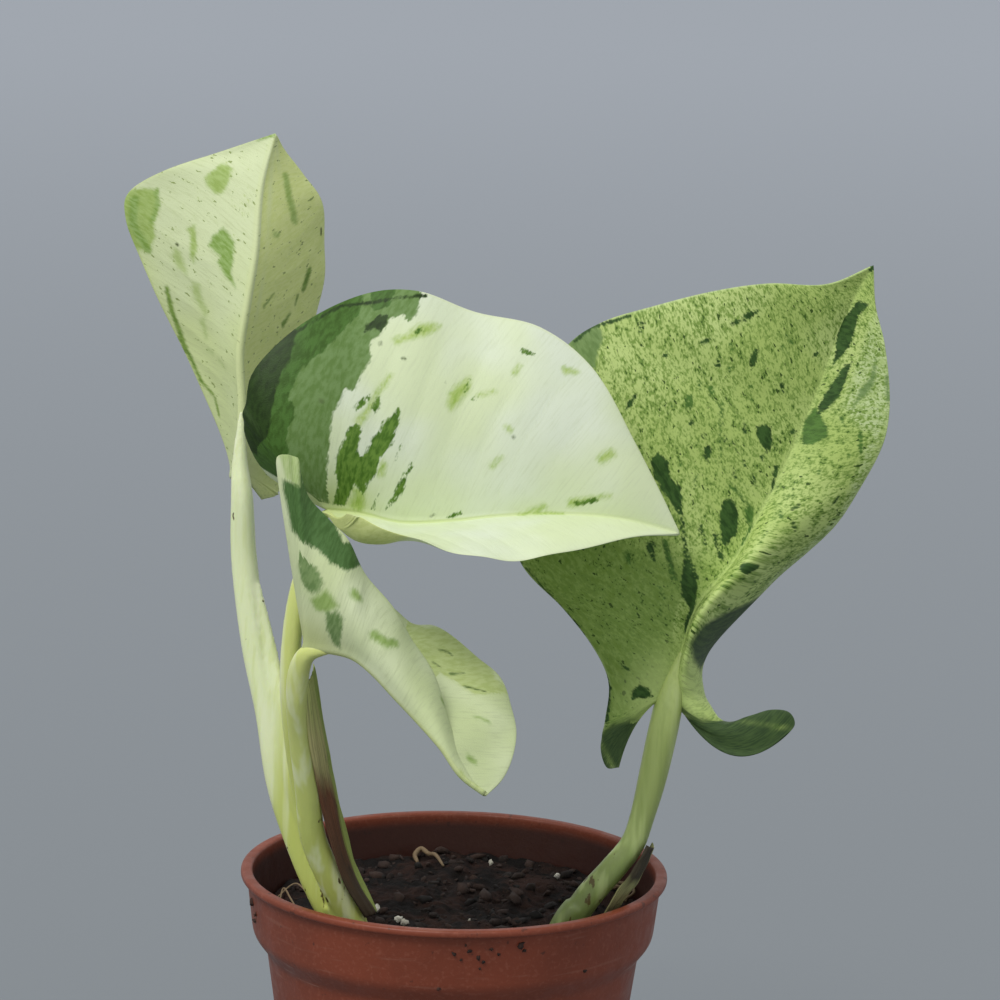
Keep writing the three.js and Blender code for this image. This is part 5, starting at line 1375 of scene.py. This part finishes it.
def studio():
    """The pale floor, whose tone pales further away as painted light, an even pale sky and one soft sun from
    the upper left
    """
    x, y = (FLOOR_REACH * np.array(side) for side in ((-1, 1, 1, -1), (-1, -1, 1, 1)))
    floor = new_object("floor", np.stack([x, y, np.zeros(4)], 1), [(0, 1, 2, 3)])
    look = Look("pale floor", 0.95)
    far = look.node("ShaderNodeSeparateXYZ", 1, {0: look.place()})
    # painted light: the floor's colour pales further from the camera
    look.colour(look.mix(look.step(far, -0.5, 2.5), tone(FLOOR_NEAR), tone(FLOOR_FAR)))
    look.wear(floor)
    world = bpy.data.worlds.new("studio")
    world.use_nodes = True
    sky = world.node_tree.nodes["Background"].inputs
    sky["Color"].default_value = SKY_TONE
    sky["Strength"].default_value = SKY_STRENGTH
    bpy.context.scene.world = world
    sun = bpy.data.lights.new("sun", "SUN")
    sun.energy = SUN_STRENGTH
    sun.angle = math.radians(SUN_SPREAD)
    sun.color = SUN_TONE
    obj = bpy.data.objects.new("sun", sun)
    back = np.array(SUN_FROM) / np.linalg.norm(SUN_FROM)
    side = np.cross((0, 0, 1), back)
    side /= np.linalg.norm(side)
    obj.matrix_world = Matrix((side, np.cross(back, side), back)).transposed().to_4x4()
    bpy.context.collection.objects.link(obj)
    bpy.context.scene.view_settings.view_transform = "Standard"


def fine_roots():
    """Thin roots that lie on the soil, each lifted a little along its middle"""
    strands = []
    for strand in FIBRES:
        x, y, thick = np.array(strand, float).T
        lift = 0.35 + 0.9 * np.sin(np.linspace(0, np.pi, len(x)))
        strands.append(tube(np.stack([x, y, soil_height(x, y) + lift, thick], 1), sides=8, steps=26))
    roots = new_object("fibres", *gathered(strands))
    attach(roots, "root")
    return roots


def litter():
    """What lies on the soil: crumbs strewn by a seeded draw, white perlite, fine roots, and the dirt that
    sticks to the pot's collar"""
    rng = np.random.default_rng(11)
    radius = (collar_foot - WALL - 2) * np.sqrt(rng.uniform(0, 1, CRUMBS))
    turn = rng.uniform(0, 2 * np.pi, CRUMBS)
    x, y = radius * np.cos(turn), radius * np.sin(turn)
    size = CRUMB_SIZE + CRUMB_SPREAD * rng.uniform(0, 1, CRUMBS) ** 3
    places = np.stack([x, y, soil_height(x, y) + size * 0.1], 1)
    pieces = [lumps("crumbs", places, size, seed=5, flat=0.8)]
    x, y, size = np.array(PERLITE, float).T
    places = np.stack([x, y, soil_height(x, y) + size * 0.3], 1)
    pieces.append(lumps("perlite", places, size, seed=8))
    pieces.append(fine_roots())
    angle, height, size = np.array(DIRT, float).T
    angle = np.radians(angle)
    reach = np.interp(height, [collar_bottom, lip_foot], [collar_foot, collar_top])
    places = np.stack([reach * np.sin(angle), -reach * np.cos(angle), height], 1)
    pieces.append(lumps("dirt", places, size, seed=3))
    for piece in pieces:
        grain_look(*GRAIN_LOOKS[piece.name]).wear(piece)


camera()
studio()

for name, leaf in LEAVES.items():
    piece = blade(name, leaf)
    leaf_look(name, leaf).wear(piece)

for name, tones in STALK_TONES.items():
    stalk_look(name, *tones).wear(shoot(name))

for name, shape in SHEATHS.items():
    piece = thick_strip(name + "_skin", shape, SHEATH_ROWS, SHEATH_COLUMNS, SHEATH_THICKNESS,
                        SHEATH_RAGGED, SHEATH_CURL)
    sheath_look(name, *SHEATH_TONES[name]).wear(piece)
    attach(piece, "root")
    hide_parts(name)

pot_look().wear(pot())
soil_look().wear(soil())
litter()
